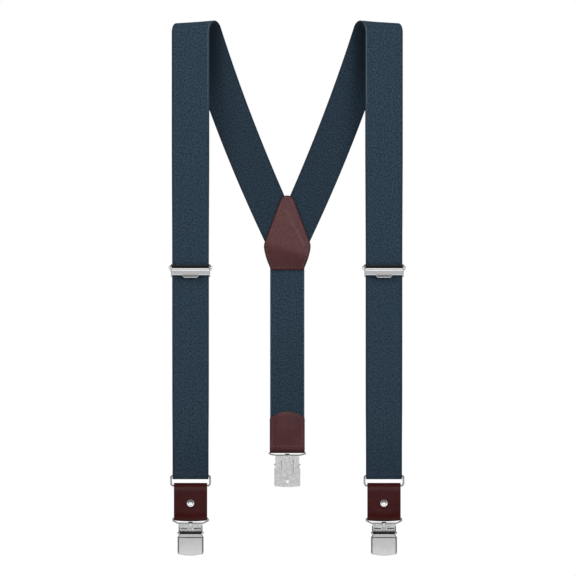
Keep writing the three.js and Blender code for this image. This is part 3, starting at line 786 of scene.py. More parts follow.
def front_width(track, run):
    """Share of the nominal width: wider over the shoulder, narrower at the adjuster and the ring."""
    place = track.place(run)[0]
    shoulder = 0.024 * smooth(-232, -110, place.z)
    ring = 0.022 * smooth(-300, -425, place.z)
    return 1.0 + shoulder - (ring if place.y < 0 else 0.0)


def pale_inner_edge(track, x, run):
    """The pale line along the bead of the inner edge, over the shoulder. x counts towards the neck."""
    place = track.place(run)[0]
    line = 1 - smooth(0.05, 0.30, abs(STRAP_HALF - SELVEDGE[1][0] - x))
    return 0.8 * line * smooth(-105, -60, place.z) if place.y < 5 else 0.0


def shade_in_loop(track, x, run, face):
    """The inner face is darker than the outer one, and painted shadow makes it darkest deep in the shoulder
    loop, beside the front run's inner edge. The outer face has painted shade where it folds round the ring."""
    place, across = track.place(run)
    spot = place + across * x
    # painted shade on the outer face where it folds down round the ring
    if face > 0:
        return 0.20 * smooth(-370, -425, spot.z)
    # painted shadow deep in the shoulder loop, beside the front run's inner edge
    beyond_front_run = abs(RING_PIVOT["left"].x) - STRAP_HALF - abs(spot.x)
    deep = (1 - smooth(3, 17, beyond_front_run)) * smooth(-105, -25, spot.z)
    return 0.28 + 0.55 * deep


def strap_shape(track, sign, seed):
    """What band() needs to know of a strap. The rise is kept away from the adjuster and the ring, so that
    nothing touches them."""
    def rise(x, run):
        z = track.height(run)
        calm = smooth(-226, -200, z) + smooth(-262, -285, z) * smooth(-425, -400, z)
        return waver(x, run, seed) * calm

    return {
        "width": lambda run: front_width(track, run),
        "rise": rise,
        "rim_and_shade": lambda x, run: pale_inner_edge(track, -sign * x, run),
        "tone": lambda x, run, face: shade_in_loop(track, x, run, face),
        "end_rim": None,
    }


def make_straps():
    """Each front strap in two pieces: the back leg, and the rest over the shoulder and down to the ring."""
    for side, sign, seed in (("left", -1, 3.0), ("right", 1, 7.0)):
        track, loop_start = shoulder_track(side == "right")
        joint_run = track.runs[loop_start] - 14
        shape = strap_shape(track, sign, seed)
        cols = webbing_columns()
        shell = band(track, cols, WEB, 2.6, span=lambda x: (joint_run, track.length), **shape)
        front = make_piece(f"{side}_front_webbing", shell, "webbing", None, [f"{side}_strap_front_run"],
                           sharp_deg=60)
        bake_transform(front)
        shell = band(track, cols, WEB, 4.0, span=lambda x: (0.0, joint_run), **shape)
        leg = make_piece(f"{side}_back_webbing", shell, "webbing", "root", [f"{side}_strap"], sharp_deg=60)
        cut_flat(leg, (sign * 0.15 * MM, 0, 0), (-sign, 0, 0))
        cut_flat(leg, (0, 0, CUT_Z * MM), (0, 0, -1))


def cut_flat(piece, point, outward):
    """Cuts off what lies beyond a plane, and closes the cut."""
    cut = bmesh.new()
    cut.from_mesh(piece.data)
    geometry = cut.verts[:] + cut.edges[:] + cut.faces[:]
    made = bmesh.ops.bisect_plane(cut, geom=geometry, plane_co=point, plane_no=outward, clear_outer=True)
    edges = [g for g in made["geom_cut"] if isinstance(g, bmesh.types.BMEdge)]
    bmesh.ops.edgeloop_fill(cut, edges=edges)
    cut.to_mesh(piece.data)
    cut.free()


def make_return_runs():
    """The doubled webbing behind each front strap: from the ring up to the adjuster's bar and round it."""
    bar_y, bar_z = BAR_TOP
    bar_r = 0.8 + WEB / 2
    back_y = bar_y + bar_r

    def narrow(run):
        return 1.0 - 0.017 * smooth(80, 20, run)

    def rise(x, run):
        return 0.6 * waver(x, run, 11) * smooth(150, 120, run)

    for side in SIDES:
        ring = RING_PIVOT[side]
        low_y, low_z = 2 * ring.y + LOOP_R, ring.z + 0.62
        path = [(low_y, low_z + i) for i in range(0, 10, 2)]
        path += curve((low_y, ring.z + 10), (low_y, ring.z + 60), (back_y, -330), (back_y, -285), 30)
        path += [(back_y, z) for z in range(-283, -240, 2)]
        path += arc((bar_y, bar_z), bar_r, 0, 180, 30)
        path += [(bar_y - bar_r, z) for z in range(-241, -258, -2)]
        track = Track([point + X_AXIS * ring.x for point in in_yz(path)])
        shell = band(track, webbing_columns(), WEB, 3.0, end_rim=0.15, width=narrow, rise=rise,
                     weave_start=520)
        piece = make_piece(f"{side}_return_webbing", shell, "webbing", None, [f"{side}_strap_return_run"])
        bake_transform(piece)
        seam = Shell()
        for z in (-251.5, -255.0):
            row = [((ring.x + dx, back_y + WEB / 2, z), (0, 1, 0)) for dx in range(-15, 16)]
            stitch_row(seam, row, 2.6, 0.2)
        make_piece(f"{side}_return_stitches", seam, "webbing_thread", f"{side}_adjuster")


def make_back_strap():
    low, high = node_box("back_strap")
    spacing = 2.0
    y = (low.y + high.y) / 2
    track = Track(in_yz((y, high.z - i * spacing) for i in range(int((high.z - low.z) / spacing) + 1)))
    shell = band(track, webbing_columns((high.x - low.x) / 2), WEB, 3.0, end_rim=0.15,
                 tone=lambda x, run, face: 0.14 * smooth(60, 150, run),
                 rise=lambda x, run: waver(x, run, 17) * smooth(30, 50, run) * smooth(166, 150, run))
    make_piece("back_webbing", shell, "webbing", "root", ["back_strap"])


# ---- leather -------------------------------------------------------------------------------------

LEATHER = 1.3  # thickness of the tabs and of the leather end
TOOLED = [(1.25, 1.0), (1.5, 0.86), (1.75, 0.86), (2.0, 1.0)]
PATCH_TOOLED = [(1.75, 1.0), (2.05, 0.82), (2.55, 0.82), (2.85, 1.0)]
END_TOOLED = [(1.2, 1.0), (1.75, 1.0), (2.05, 0.84), (2.5, 0.84), (2.8, 1.0)]
SEAM_INSET, THREAD_SUNK = 2.3, 0.12


def patch_outline():
    """The patch from the middle of its bottom edge round its right side to the top, then down the left."""
    right = [(0, -234.8), (5, -234.8), (10, -234.8), (13.6, -234.8)]
    right += curve((14.2, -234.75), (15.4, -234.6), (16.0, -233.6), (16.6, -232.4), 5)
    right += curve((17.0, -231.4), (19.3, -226.2), (21.6, -219.5), (22.25, -213.5), 10)
    right += curve((22.3, -212.6), (22.35, -210.8), (21.8, -208.8), (21.0, -206.8), 5)
    right += [(lerp(20.6, 7.2, i / 16), lerp(-205.7, -169.9, i / 16)) for i in range(17)]
    right += curve((6.9, -169.2), (5.6, -165.2), (3.0, -163.85), (0, -163.8), 8)
    return right + [(-x, z) for x, z in reversed(right[1:-1])]


def inset_ring(outline, distance):
    """The outline moved inwards by a distance, point by point."""
    ring = []
    for i, (x, z) in enumerate(outline):
        before, after = Vector(outline[i - 1]), Vector(outline[(i + 1) % len(outline)])
        along = (after - before).normalized()
        ring.append((x - along.y * distance, z + along.x * distance))
    return ring


def patch_painted_light(x, z):
    """How much painted light the patch has: paler over the strap ends in its upper part, and most along a
    slanting streak, a painted highlight.
    """
    straps = smooth(-222, -210, z + 0.28 * x + 1.6 * noise.noise(Vector((x / 5, z / 5, 0.5))))
    streak_x = lerp(-1, 17, (-178 - z) / 35)
    streak = (1 - smooth(0.3, 2.4, abs(x - streak_x))) * smooth(-216, -208, z) * smooth(-174, -180, z)
    return min(1.0, 0.60 * straps + 0.40 * streak)


def patch_shell(depth_at, thickness):
    """Leather cut to the patch's outline. depth_at(z) is the Y of the middle of the leather."""
    outline = patch_outline()
    shell = Shell()
    centre = Vector((0, -209))
    well_inside = 9.0
    edge = rim_steps(0.3) + PATCH_TOOLED
    rings = [(inset_ring(outline, distance), share, distance) for distance, share in edge]
    last = rings[-1][0]
    for i in range(13):
        ring = [tuple(centre.lerp(Vector(p), 0.93 - 0.07 * i)) for p in last]
        rings.append((ring, 1.0, well_inside))
    fronts, backs = [], []
    for ring, share, distance in rings:
        front, back = [], []
        for x, z in ring:
            # besides the dark cut edge, the rim mark paints shade over the patch below a slanting line near
            # its bottom
            rim = max(1.0 - smooth(0.1, 0.8, distance), 0.28 * smooth(-211, -222, z + 0.28 * x))
            pucker = 0.05 * noise.noise(Vector((x / 7, z / 7, thickness)))
            y = depth_at(z) + pucker * smooth(0, 4, distance)
            half = thickness / 2 * share
            # painted light: paler over the strap ends and along a slanting highlight
            tone = patch_painted_light(x, z)
            front.append(shell.point((x, y - half, z), (x, z), rim, tone))
            back.append(front[-1] if half < NO_THICKNESS else
                        shell.point((x, y + half, z), (x, z), rim, tone))
        fronts.append(front)
        backs.append(back)
    shell.skin(fronts, around=True)
    shell.skin(backs, around=True, flip=True)
    shell.face(fronts[-1])
    shell.face(backs[-1][::-1])
    return shell


def make_patch():
    """Two leathers with the strap ends between them, pressed together where there is less inside."""
    inner_low, inner_high = node_box("patch_inner")
    outer_low, outer_high = node_box("patch_outer")
    thickness = inner_high.y - inner_low.y

    def inner_depth(z):
        return (inner_low.y + inner_high.y) / 2 + 0.15 + 1.25 * smooth(-221, -233, z)

    def outer_depth(z):
        return (outer_low.y + outer_high.y) / 2 - 0.15 - (WEB + 0.1) * smooth(-207, -190, z)

    for name, node, depth_at, facing in (("front", "patch_inner", inner_depth, -1),
                                         ("back", "patch_outer", outer_depth, 1)):
        make_piece(f"patch_{name}_leather", patch_shell(depth_at, thickness), "patch_leather", "root", [node])
        seam = Shell()
        ring = inset_ring(patch_outline(), SEAM_INSET)
        surface = facing * (thickness / 2 - THREAD_SUNK)
        loop = [((x, depth_at(z) + surface, z), (0, facing, 0)) for x, z in ring + ring[:1]]
        stitch_row(seam, loop, STITCH_PITCH)
        make_piece(f"patch_{name}_stitches", seam, "leather_thread", "root")


def tab_path(length, top_r, end_r, half_t):
    """Closed line in (Y, Z) through the middle of a leather strip folded round two bars, with the top bar
    at 0. It starts half way down the back."""
    top, end, flat = (outer - LEATHER / 2 for outer in (top_r, end_r, half_t))
    middle = -length / 2
    path = [(flat, z) for z in (middle, middle + 3, middle + 6)]
    path += curve((flat, -7), (flat, -3.5), (top, -3), (top, 0), 14)
    path += arc((0, 0), top, 8, 172)
    path += curve((-top, 0), (-top, -3), (-flat, -3.5), (-flat, -7), 14)
    path += [(-flat, z) for z in (middle + 6, middle + 3, middle, middle - 3, middle - 6)]
    path += curve((-flat, -length + 6.5), (-flat, -length + 3.3), (-end, -length + 2.8), (-end, -length), 14)
    path += arc((0, -length), end, 188, 352)
    path += curve((end, -length), (end, -length + 2.8), (flat, -length + 3.3), (flat, -length + 6.5), 14)
    path += [(flat, z) for z in (middle - 6, middle - 3)]
    return in_yz(path)


def tab_shell(length, half, rivet_z, seed):
    """A tab, with its top bar at the origin."""
    track = Track(tab_path(length, 2.85, 2.25, 1.5), closed=True)

    def rise(x, run):
        """A dimple round the rivet, and a slight swell. The track's own face may point into the fold."""
        place, _, face = track.at(run)
        dimple = -0.16 * (1 - smooth(3.2, 6.5, math.hypot(x, place.z - rivet_z)))
        swell = 0.05 * noise.noise(Vector((x / 9, run / 9, seed)))
        out_of_fold = face.y * place.y >= 0
        return dimple + swell if out_of_fold else -(dimple + swell)

    def tone(x, run, face):
        """Paler below the top fold, a painted highlight, and along the tooled lines and in faint rings under
        the rivet.
        """
        z = track.height(run)
        fold = smooth(-0.6, -1.4, z) * smooth(-4.6, -3.4, z)
        tooled = 1 - smooth(0.15, 0.5, abs(half - 1.15 - abs(x)))
        below = rivet_z - z
        away = math.hypot(x, below)
        rings = max(1 - smooth(0.2, 0.7, abs(away - r)) for r in (7.2, 9.6)) * smooth(2.5, 6.0, below)
        return min(1.0, 0.62 * fold + 0.22 * tooled + 0.30 * rings)

    def rim(x, run):
        """Burnished along both edges; over the top of the fold the dark is painted shadow."""
        return max(edge_mark(half - abs(x)), smooth(1.4, 2.5, track.height(run)))

    shell = band(track, columns(half, 0.35, 0.8, TOOLED), LEATHER, 0.6, rise=rise, tone=tone, rim_and_shade=rim)
    for point in shell.points:
        point.z -= 0.8 * (1 - (point.x / half) ** 2) * smooth(-length + 8, -length, point.z)
    return shell


def make_tabs():
    for side, seed in (("left", 5.0), ("right", 9.0)):
        low, high = node_box(f"{side}_leather_tab")
        rivet_low, rivet_high = node_box(f"{side}_rivet_cap")
        top = TAB_PIVOT[side]
        shell = tab_shell(top.z - pivot(f"{side}_bail_hinge").z, (high.x - low.x) / 2,
                          (rivet_low.z + rivet_high.z) / 2 - top.z, seed)
        make_piece(f"{side}_tab_leather", shell, "tab_leather", f"{side}_tab", [f"{side}_leather_tab"],
                   Matrix.Translation(top))


def make_leather_end():
    """Leather folded round the back bail and sewn over the strap's end, with an arched top on both sides."""
    low, high = node_box("back_leather_end")
    fold = pivot("back_bail_hinge")
    half = (high.x - low.x) / 2
    fold_r, fold_depth, arch_rise, overlap = 1.6, 2.3, 6.4, 0.3
    arch_r = (half ** 2 + arch_rise ** 2) / (2 * arch_rise)
    straight = high.z - fold.z
    path = [(-fold_r, straight - i) for i in range(int(straight))]
    path += [(y, z * fold_depth / fold_r) for y, z in arc((0, 0), fold_r, 180, 360, 30)]
    path += [(fold_r, i + 1) for i in range(int(straight))] + [(fold_r, straight)]
    track = Track(in_yz(path))

    def span(x):
        drop = arch_r - math.sqrt(arch_r ** 2 - min(abs(x), half) ** 2)
        return drop, track.length - drop

    def rim(x, run):
        """Burnished along the sides; round the fold at the bottom the dark is painted shade."""
        return max(edge_mark(half + overlap - abs(x)), smooth(1.4, -0.4, track.height(run)))

    def tone(x, run, face):
        """Paler along the cut arch, in a crease inside the edges, and in a row above the fold."""
        start, end = span(x)
        from_arch = min(run - start, end - run)
        z = track.height(run)
        arch = 1 - smooth(0.5, 1.1, from_arch)
        crease = 1 - smooth(0.1, 0.45, abs(min(from_arch, half - abs(x)) - 1.5))
        broken = 0.6 + 0.8 * noise.noise(Vector((x / 1.2, z / 1.2, 4.0)))
        row = (1 - smooth(0.2, 0.9, abs(z - 4.0))) * broken
        cloud = smooth(17, 24, z) * smooth(15, 4, abs(x))
        return max(0.0, min(1.0, 0.65 * arch + 0.30 * crease + 0.4 * row + 0.30 * cloud))

    shell = band(track, columns(half + overlap, 0.3, 0.8, END_TOOLED), LEATHER, 0.8, span=span, rim_and_shade=rim,
                 tone=tone, rise=lambda x, run: 0.04 * noise.noise(Vector((x / 8, run / 8, 2.0))))
    place = Matrix.Translation(fold)
    make_piece("back_end_leather", shell, "patch_leather", "root", ["back_leather_end"], place)

    seam = Shell()
    edge_x, seam_r = half - SEAM_INSET, arch_r - SEAM_INSET
    centre_z = straight - SEAM_INSET - seam_r
    half_turn = math.degrees(math.asin(edge_x / seam_r))
    arch_top = arc((0, centre_z), seam_r, 90 + half_turn, 90 - half_turn, 40)
    left = [(-edge_x, z) for z in range(5, int(arch_top[0][1]))]
    right = [(edge_x, z) for z in range(int(arch_top[-1][1]), 4, -1)]
    across = [(x, 4.0) for x in range(-14, 15)]
    for facing in (-1, 1):
        y = facing * (fold_r + LEATHER / 2 - THREAD_SUNK)
        for line in (left + arch_top + right, across):
            stitch_row(seam, [((x, y, z), (0, facing, 0)) for x, z in line], STITCH_PITCH)
    make_piece("back_end_stitches", seam, "leather_thread", "root", place=place)


# ---- ring, rivet, bail ---------------------------------------------------------------------------

def make_rings():
    for side in SIDES:
        top, bottom = RING_PIVOT[side], TAB_PIVOT[side]
        low, high = node_box(f"{side}_ring")
        radius = (high.y - low.y) / 2
        half = (high.x - low.x) / 2 - radius
        depth = top.z - bottom.z
        corners = [(-half, 0, 1.7), (-half, -depth, 2.2), (half, -depth, 2.2), (half, 0, 1.7)]
        make_piece(f"{side}_wire_ring", wire(corners, radius), "chrome", f"{side}_ring", [f"{side}_ring"],
                   Matrix.Translation(top))


def make_rivets():
    """A cap with a raised button, on a post through the tab, and the socket behind."""
    cap = [(0, 1.2), (1.4, 1.2), (1.4, -1.45), (3.2, -1.48), (3.42, -1.55), (3.5, -1.72), (3.49, -1.92),
           (3.42, -2.04), (3.3, -2.08), (2.9, -2.09), (2.5, -2.10), (2.35, -2.16), (2.2, -2.34),
           (2.05, -2.52), (1.9, -2.60), (1.5, -2.64), (0.8, -2.67), (0, -2.68)]
    socket = [(0, 1.25), (1.6, 1.25), (1.62, 1.42), (3.1, 1.45), (3.25, 1.55), (3.3, 1.7), (3.2, 1.9),
              (2.8, 2.1), (2.3, 2.2), (1.9, 2.22), (1.5, 2.05), (1.2, 2.0), (0, 2.0)]
    for side in SIDES:
        low, high = node_box(f"{side}_rivet_cap")
        pivot_at = TAB_PIVOT[side]
        place = Matrix.Translation((pivot_at.x, pivot_at.y, (low.z + high.z) / 2))
        body = f"{side}_tab"
        make_piece(f"{side}_rivet_dome", turned(cap, Y_AXIS), "rivet_nickel", body, [f"{side}_rivet_cap"],
                   place, 50)
        make_piece(f"{side}_rivet_back", turned(socket, Y_AXIS), "zinc_plate", body,
                   [f"{side}_rivet_socket"], place, 50)


def make_bails():
    """Wire trapezoids with the long bar in the leather and the short bar in the clip's hook."""
    wire_r, short_half = 0.7, 12.0
    for side in (*SIDES, "back"):
        top, bottom = pivot(f"{side}_bail_hinge"), pivot(f"{side}_clip_hinge")
        drop = top.z - bottom.z
        right = [(short_half, -drop, 1.1), (17.2, -2.3, 0.8), (15.9, 0, 0.9)]
        if side == "back":
            right = [(short_half, -drop, 1.0), (17.9, -3.55, 0.45), (16.2, -2.5, 0.45), (15.9, 0, 0.6)]
        shell = wire([(-x, z, r) for x, z, r in reversed(right)] + right, wire_r)
        make_piece(f"{side}_wire_bail", shell, "chrome", f"{side}_bail", [f"{side}_bail"],
                   Matrix.Translation(top))


# ---- clip, drawn round its lever's pivot ---------------------------------------------------------

SHEET = 0.8  # thickness of the pressed steel
PLATE_Y = 4.5  # middle of the base plate, behind the clip's pivot
BAR_Y, BAR_Z = 3.4, 9.1  # the bail's short bar
UPPER_HALF, LOWER_HALF = 11.4, 12.4
STEP_Z, BOTTOM_Z = -3.3, -20.6
PEG_Z = -16.1
SUNK = 0.03  # how far a rib's foot goes into its plate


def clip_hook():
    """A tongue from the base plate, bent over the bail's short bar and tapering to its tip in front."""
    bend_r = 1.21
    path = [(BAR_Y + bend_r, z) for z in (5.4, 6.4, 7.4, 8.4)]
    path += arc((BAR_Y, BAR_Z), bend_r, 0, 185, 40)
    path += curve((BAR_Y - 1.2, 8.6), (BAR_Y - 1.15, 6.8), (BAR_Y - 0.2, 5.4), (BAR_Y + 0.15, 3.6), 16)
    return band(Track(in_yz(path)), columns(2.4, 0.22, 0.8), 0.6, 0.45, end_rim=0.22,
                width=lambda run: lerp(1.0, 0.55, smooth(3.4, 8.4, run)))


def clip_base_shell():
    """The plate with its hook, ears for the pin, side walls, and stamped ribs behind and in front."""
    shell = Shell()
    corner = 1.8
    right = arc((LOWER_HALF - corner, BOTTOM_Z + corner), corner, -90, 0, 8)
    right += [(LOWER_HALF, STEP_Z - 0.2), (LOWER_HALF - 0.25, STEP_Z), (UPPER_HALF + 0.1, STEP_Z + 0.45),
              (UPPER_HALF, STEP_Z + 0.7), (UPPER_HALF, BAR_Z - 1.4), (UPPER_HALF - 0.5, BAR_Z - 0.9)]
    slot = [(-0.75, 5.6), (0.75, 5.6), (0.75, 7.4), (-0.75, 7.4)]
    base = plate(both_sides(right), [circle(0, PEG_Z, 1.8), slot], SHEET)
    shell.join(base, Matrix.Translation((0, PLATE_Y, 0)))
    ear = [(PLATE_Y, STEP_Z + 0.5), (PLATE_Y, 6.6), (PLATE_Y - 1.2, 6.6)] + arc((0, 0), 1.9, 135, 262, 14)
    rib_low, rib_high = -8.6, 4.6
    lying_in_front = Matrix.Rotation(math.pi, 4, "Z") @ Matrix.Rotation(math.pi / 2, 4, "Y")
    for x in (-1, 1):
        ear_x = x * (UPPER_HALF - SHEET / 2 - 0.05)
        shell.join(plate(ear, [circle(0, 0, 0.75, 20)], SHEET), Matrix.Translation((ear_x, 0, 0)) @ ON_X)
        wall = Track([(x * (LOWER_HALF - SHEET / 2), 3.0 + i * 0.25, 0) for i in range(7)], Z_AXIS)
        shell.join(band(wall, columns(6.7, 0.2, 2.0), SHEET, 0.5, end_rim=0.25),
                   Matrix.Translation((0, 0, -11.7)))
        back_rib = Matrix.Translation((x * 5.6, PLATE_Y + SHEET / 2 - SUNK, (rib_low + rib_high) / 2))
        shell.join(raised_rib(rib_high - rib_low, 1.2, 0.42), back_rib)
        front_rib = Matrix.Translation((x * 6.3, PLATE_Y - SHEET / 2 + SUNK, 4.1))
        shell.join(raised_rib(7.0, 1.3, 0.36), front_rib @ lying_in_front)
    shell.join(clip_hook())
    return shell


def raised_rib(length, width, height):
    """A low stamped rib on the +Y side of the plane Y = 0, running along Z."""
    shell = Shell()
    rows, cols = 16, 8
    grid = []
    for i in range(rows + 1):
        z = length * (i / rows - 0.5)
        end = math.sqrt(max(0.0, 1 - (2 * abs(z) / length) ** 8))
        row = []
        for j in range(cols + 1):
            side = 2 * j / cols - 1
            swell = math.cos(math.pi / 2 * side) ** 1.5 if 0 < j < cols else 0
            row.append(shell.point((width / 2 * end * side, height * end * swell, z)))
        grid.append(row)
    shell.skin(grid)
    for row, following in zip(grid, grid[1:]):
        shell.face([row[0], following[0], following[-1], row[-1]])
    shell.cap(grid)
    return shell


def clip_pad():
    """The pad: a face with a crown across and a curved lower edge, and a low wall bent back at each side."""
    shell = Shell()
    half, face_y, corner_r, edge_r = 12.3, -1.9, 0.5, 0.3
    crown_y, bow_y, face_top, face_bottom = -0.42, -0.06, -4.1, -22.0
    wall_x = half - SHEET / 2
    face_half = wall_x - corner_r
    section = [(-wall_x, 0.4 - i * 0.3) for i in range(5)]
    section += arc((-face_half, face_y + corner_r), corner_r, 180, 270, 8)
    section += [(lerp(-face_half, face_half, i / 40), face_y) for i in range(1, 40)]
    section += arc((face_half, face_y + corner_r), corner_r, 270, 360, 8)
    section += [(wall_x, -0.8 + i * 0.3) for i in range(5)]

    def crown(x):
        return crown_y * (1 - (x / face_half) ** 2) if abs(x) < face_half else 0.0

    track = Track([(x, y + crown(x), 0) for x, y in section], Z_AXIS)
    lap = (track.length - 2 * face_half) / 2
    edge = rim_steps(edge_r)
    inset = edge[-1][0]
    cols = edge + [(lerp(inset, track.length - inset, i / 46), 1.0) for i in range(1, 46)]
    cols += [(track.length - distance, share) for distance, share in reversed(edge)]
    rows = [("top", distance, share) for distance, share in edge]
    rows += [("middle", i / 30, 1.0) for i in range(1, 30)]
    rows += [("bottom", distance, share) for distance, share in reversed(edge)]
    fronts, backs = [], []
    for part, value, row_share in rows:
        front, back = [], []
        for run, share in cols:
            place, _, face = track.at(run)
            wall = 1 - smooth(lap * 0.45, lap * 0.95, min(run, track.length - run))
            top = lerp(face_top, -5.2, wall)
            bottom = lerp(-21.4 + 2.1 * min(1.0, abs(place.x) / 12.0) ** 2.6, -18.0, wall)
            z = {"top": top - value, "middle": lerp(top - inset, bottom + inset, value),
                 "bottom": bottom + value}[part]
            bow = bow_y * math.sin(math.pi * (z - face_top) / (face_bottom - face_top)) if z < face_top else 0
            centre = Vector((place.x, place.y + bow, z))
            half_t = SHEET / 2 * share * row_share
            front.append(shell.point(centre - face * half_t, (place.x, z)))
            back.append(front[-1] if half_t < NO_THICKNESS else
                        shell.point(centre + face * half_t, (place.x, z)))
        fronts.append(front)
        backs.append(back)
    shell.skin(fronts)
    shell.skin(backs, flip=True)
    return shell


def clip_lever_shell():
    """The pad, with a neck that goes up from behind it, stands forward and rolls round the pin."""
    neck_half, roll_r = UPPER_HALF - SHEET - 0.3, 1.15
    path = curve((-1.15, -6.2), (-1.2, -5.0), (-1.25, -4.3), (-1.3, -3.7), 6)
    path += curve((-1.36, -3.45), (-1.6, -2.4), (-1.9, -1.5), (-1.92, -1.15), 10)
    path += curve((-1.88, -0.9), (-1.6, -0.45), (-1.05, 0.45), (-0.65, 0.95), 12)
    path += arc((0, 0), roll_r, 120, -120, 40)
    neck = band(Track(in_yz(path)), columns(neck_half, 0.25, 1.6), 0.7, 0.5, end_rim=0.22)
    return clip_pad().join(neck)


def pin_shell(radius, head_r, head_in, head_out):
    """A pin along X with a bowed head at each end."""
    bow = 0.18
    profile = [(0, -head_out), (head_r * 0.55, -head_out + 0.02), (head_r * 0.85, -head_out + bow * 0.7),
               (head_r, -head_out + bow * 2), (head_r, -head_in), (radius, -head_in)]
    return turned(profile + [(r, -h) for r, h in reversed(profile)], X_AXIS, 32)


def grip_shell(flat_y, tooth_y, top_z, bottom_z, teeth, half):
    """A moulded jaw, flat at flat_y, with rounded cross ribs that reach tooth_y."""
    shell = Shell()
    direction = 1 if flat_y > tooth_y else -1
    chamfer, tooth_depth, samples = 0.3, 0.45, 8
    outline = [(flat_y, top_z - chamfer), (flat_y - direction * chamfer, top_z)]
    steps = teeth * samples
    for i in range(steps + 1):
        z = lerp(top_z - 0.15, bottom_z + 0.15, i / steps)
        valley = 0.5 + 0.5 * math.cos(2 * math.pi * i / samples)
        outline.append((tooth_y + direction * tooth_depth * valley, z))
    outline += [(flat_y - direction * chamfer, bottom_z), (flat_y, bottom_z + chamfer)]
    centre = ((flat_y + tooth_y) / 2, (top_z + bottom_z) / 2)

    def drawn_in(value, middle, inset):
        return value + math.copysign(min(inset, abs(middle - value)), middle - value)

    rings = []
    for x, inset in ((-half, 0.25), (-half + 0.1, 0.08), (-half + 0.3, 0.0), (half - 0.3, 0.0),
                     (half - 0.1, 0.08), (half, 0.25)):
        rings.append([shell.point((x, drawn_in(y, centre[0], inset), drawn_in(z, centre[1], inset)))
                      for y, z in outline])
    shell.skin(rings, around=True)
    shell.cap(rings)
    return shell


def make_clips():
    for side in (*SIDES, "back"):
        place = Matrix.Translation(pivot(f"{side}_clip_lever_hinge"))
        if side == "back":
            place = place @ Matrix.Rotation(math.pi, 4, "Z")
        clip, lever = f"{side}_clip", f"{side}_clip_lever"
        make_piece(f"{side}_clip_plate", clip_base_shell(), "zinc_plate", clip, [f"{side}_clip_base"],
                   place, 12)
        make_piece(f"{side}_clip_cover", clip_lever_shell(), "chrome", lever, [f"{side}_clip_lever"],
                   place, 50)
        make_piece(f"{side}_clip_axle", pin_shell(0.6, 1.0, 11.7, 12.5), "zinc_plate", clip,
                   [f"{side}_clip_pin"], place, 50)
        jaw = grip_shell(3.8, 1.7, -5.2, -19.6, 6, 11.2)
        jaw.join(turned([(0, -0.55), (1.55, -0.55), (1.7, -0.45), (1.7, 0.5), (0, 0.5)], -Y_AXIS),
                 Matrix.Translation((0, 4.25, PEG_Z)))
        make_piece(f"{side}_clip_back_jaw", jaw, "grip_plastic", clip, [f"{side}_clip_base_grip"], place, 40)
        make_piece(f"{side}_clip_front_jaw", grip_shell(-1.1, 1.4, -6.8, -19.0, 5, 11.0), "grip_plastic",
                   lever, [f"{side}_clip_lever_grip"], place, 40)


# ---- adjuster, drawn round its pin, with the front strap's centre at X = 0 -----------------------

def adjuster_frame_shell(pin):
    """A front plate with pointed, pierced ends, a side plate at each end, and the bar between them."""
    shell = Shell()
    plate_y = -LOOP_R + WEB / 2 + 0.3 + SHEET / 2 - pin.y
    top, tip, foot = -228.7 - pin.z, -232.3 - pin.z, -236.2 - pin.z
    right = [(18.9, foot), (19.6, foot + 0.9), (21.0, tip - 0.35), (21.2, tip), (21.0, tip + 0.3),
             (17.2, top - 0.4), (16.6, top)]
    eye = [(19.25, tip + 1.0), (19.25, tip - 1.7), (20.3, tip - 0.05)]
    eyes = [eye, [(-x, z) for x, z in eye]]
    shell.join(plate(both_sides(right), eyes, SHEET, 0.12), Matrix.Translation((0, plate_y, 0)))
    back_y, low_y, low_z = -7 - pin.y, -5.45 - pin.y, -241.7 - pin.z
    side = [(-0.45, 1.4), (plate_y + 0.4, -229.4 - pin.z), (low_y, -238.5 - pin.z), (low_y, low_z),
            (back_y, low_z), (-1.2, -1.5), (-1.2, 0.8)]
    for x in (-18.3, 18.3):
        shell.join(plate(side, [circle(0, 0, 0.6, 20)], SHEET, 0.15), Matrix.Translation((x, 0, 0)) @ ON_X)
    bar_half = 1.2
    bar = [(17.6, -bar_half), (18.2, -1.0), (18.2, 1.0), (17.6, bar_half)]
    bar_y, bar_top = BAR_TOP
    shell.join(plate(both_sides(bar), [], 1.0, 0.3),
               Matrix.Translation((0, bar_y - pin.y, bar_top - bar_half - pin.z)))
    return shell


def adjuster_tooth(x):
    """One of the teeth behind the roll that hold the webbing."""
    tooth = Shell()
    a, b, c, d, e, f = (tooth.point(p) for p in (
        (x - 0.5, 1.8, 0.45), (x + 0.5, 1.8, 0.45), (x + 0.5, 1.8, -0.9), (x - 0.5, 1.8, -0.9),
        (x - 0.3, 2.2, -0.2), (x + 0.3, 2.2, -0.2)))
    tooth.faces += [[a, b, c, d], [a, e, f, b], [d, c, f, e], [a, d, e], [b, f, c]]
    return tooth


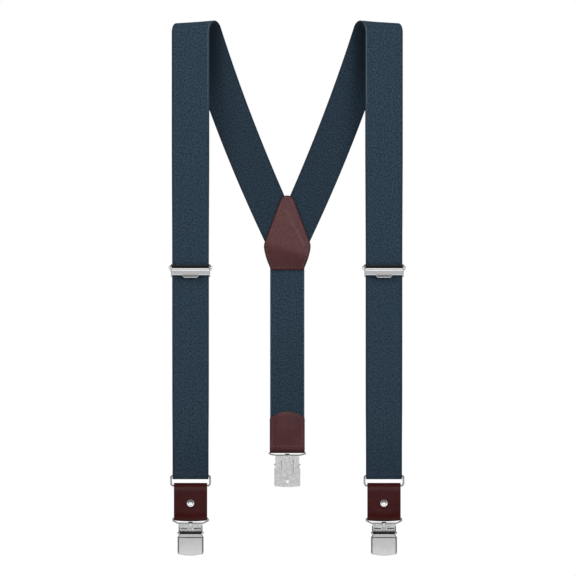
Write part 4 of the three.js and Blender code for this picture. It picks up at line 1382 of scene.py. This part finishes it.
def adjuster_lever_shell(pin):
    """A roll round the pin, and from it a flap that hangs in front, with a tab to lift it by."""
    half, roll_r, thickness = 17.6, 1.85, 0.7
    bottom, tab = -239.6 - pin.z, -241.9 - pin.z
    tab_half, tab_slope = 7.9, 2.1
    teeth, tooth_pitch = 23, 1.45
    path = arc((0, 0), roll_r, -120, 100, 40)
    path += curve((-0.6, 1.72), (-1.1, 0.95), (-1.8, -0.3), (-2.1, -0.85), 12)
    path += curve((-2.16, -1.1), (-2.05, -1.7), (-1.85, -2.3), (-1.70, -3.0), 10)
    path += [(-1.695 - 0.006 * i, -3.2 - 0.3 * i) for i in range(1, 15)]
    path += [(-1.78 - 0.02 * i, -7.4 - 0.3 * i) for i in range(1, 14)]
    track = Track(in_yz(path))
    roll_length = roll_r * math.radians(220)

    def run_at(z):
        """Distance along the track at which the flap comes down to z."""
        return next(r for r, p in zip(track.runs, track.points) if r > roll_length and p.z <= z)

    low, deep, crest = run_at(bottom), run_at(tab), run_at(-1.2)

    def span(x):
        return 0.0, lerp(low, deep, min(1.0, max(0.0, (tab_half - abs(x)) / tab_slope)))

    def widened(run):
        """The flap below the roll is a little wider than the roll, and covers the frame's side plates."""
        return lerp(1.0, 1.035, smooth(crest, crest + 0.8, run))

    near_tab = [(sign * x, 1.0) for sign in (-1, 1) for x in (5.5, 5.8, 6.3, 6.85, 7.4, 7.9, 8.2)]
    cols = [c for c in columns(half, 0.3, 1.6) if not 5.2 < abs(c[0]) < 8.5]
    shell = band(track, sorted(cols + near_tab), thickness, 0.45, span=span, end_rim=0.28, width=widened)
    for i in range(teeth):
        shell.join(adjuster_tooth((i - teeth // 2) * tooth_pitch))
    return shell


def make_adjusters():
    for side in SIDES:
        pin = pivot(f"{side}_adjuster_lever_hinge")
        place = Matrix.Translation(pin)
        body = f"{side}_adjuster"
        make_piece(f"{side}_adjuster_plate", adjuster_frame_shell(pin), "zinc_plate", body,
                   [f"{side}_adjuster_frame"], place, 12)
        make_piece(f"{side}_adjuster_axle", pin_shell(0.5, 0.9, 18.9, 19.6), "chrome", body,
                   [f"{side}_adjuster_pin"], place, 50)
        make_piece(f"{side}_adjuster_flap", adjuster_lever_shell(pin), "chrome", f"{side}_adjuster_lever",
                   [f"{side}_adjuster_lever"], place, 50)


make_camera()
make_world()
make_light("right softbox", (1.15, -1.2, 0.55), 0.8, 19)
make_light("left softbox", (-1.25, -1.1, 0.55), 0.8, 17)
make_light("top fill", (0, -0.5, 1.3), 1.0, 9)
make_light("back fill", (-0.4, 1.6, 0.2), 0.9, 14)
make_floor()
bpy.context.scene.view_settings.view_transform = "Standard"

make_straps()
make_return_runs()
make_back_strap()
make_patch()
make_tabs()
make_leather_end()
make_rings()
make_rivets()
make_bails()
make_clips()
make_adjusters()
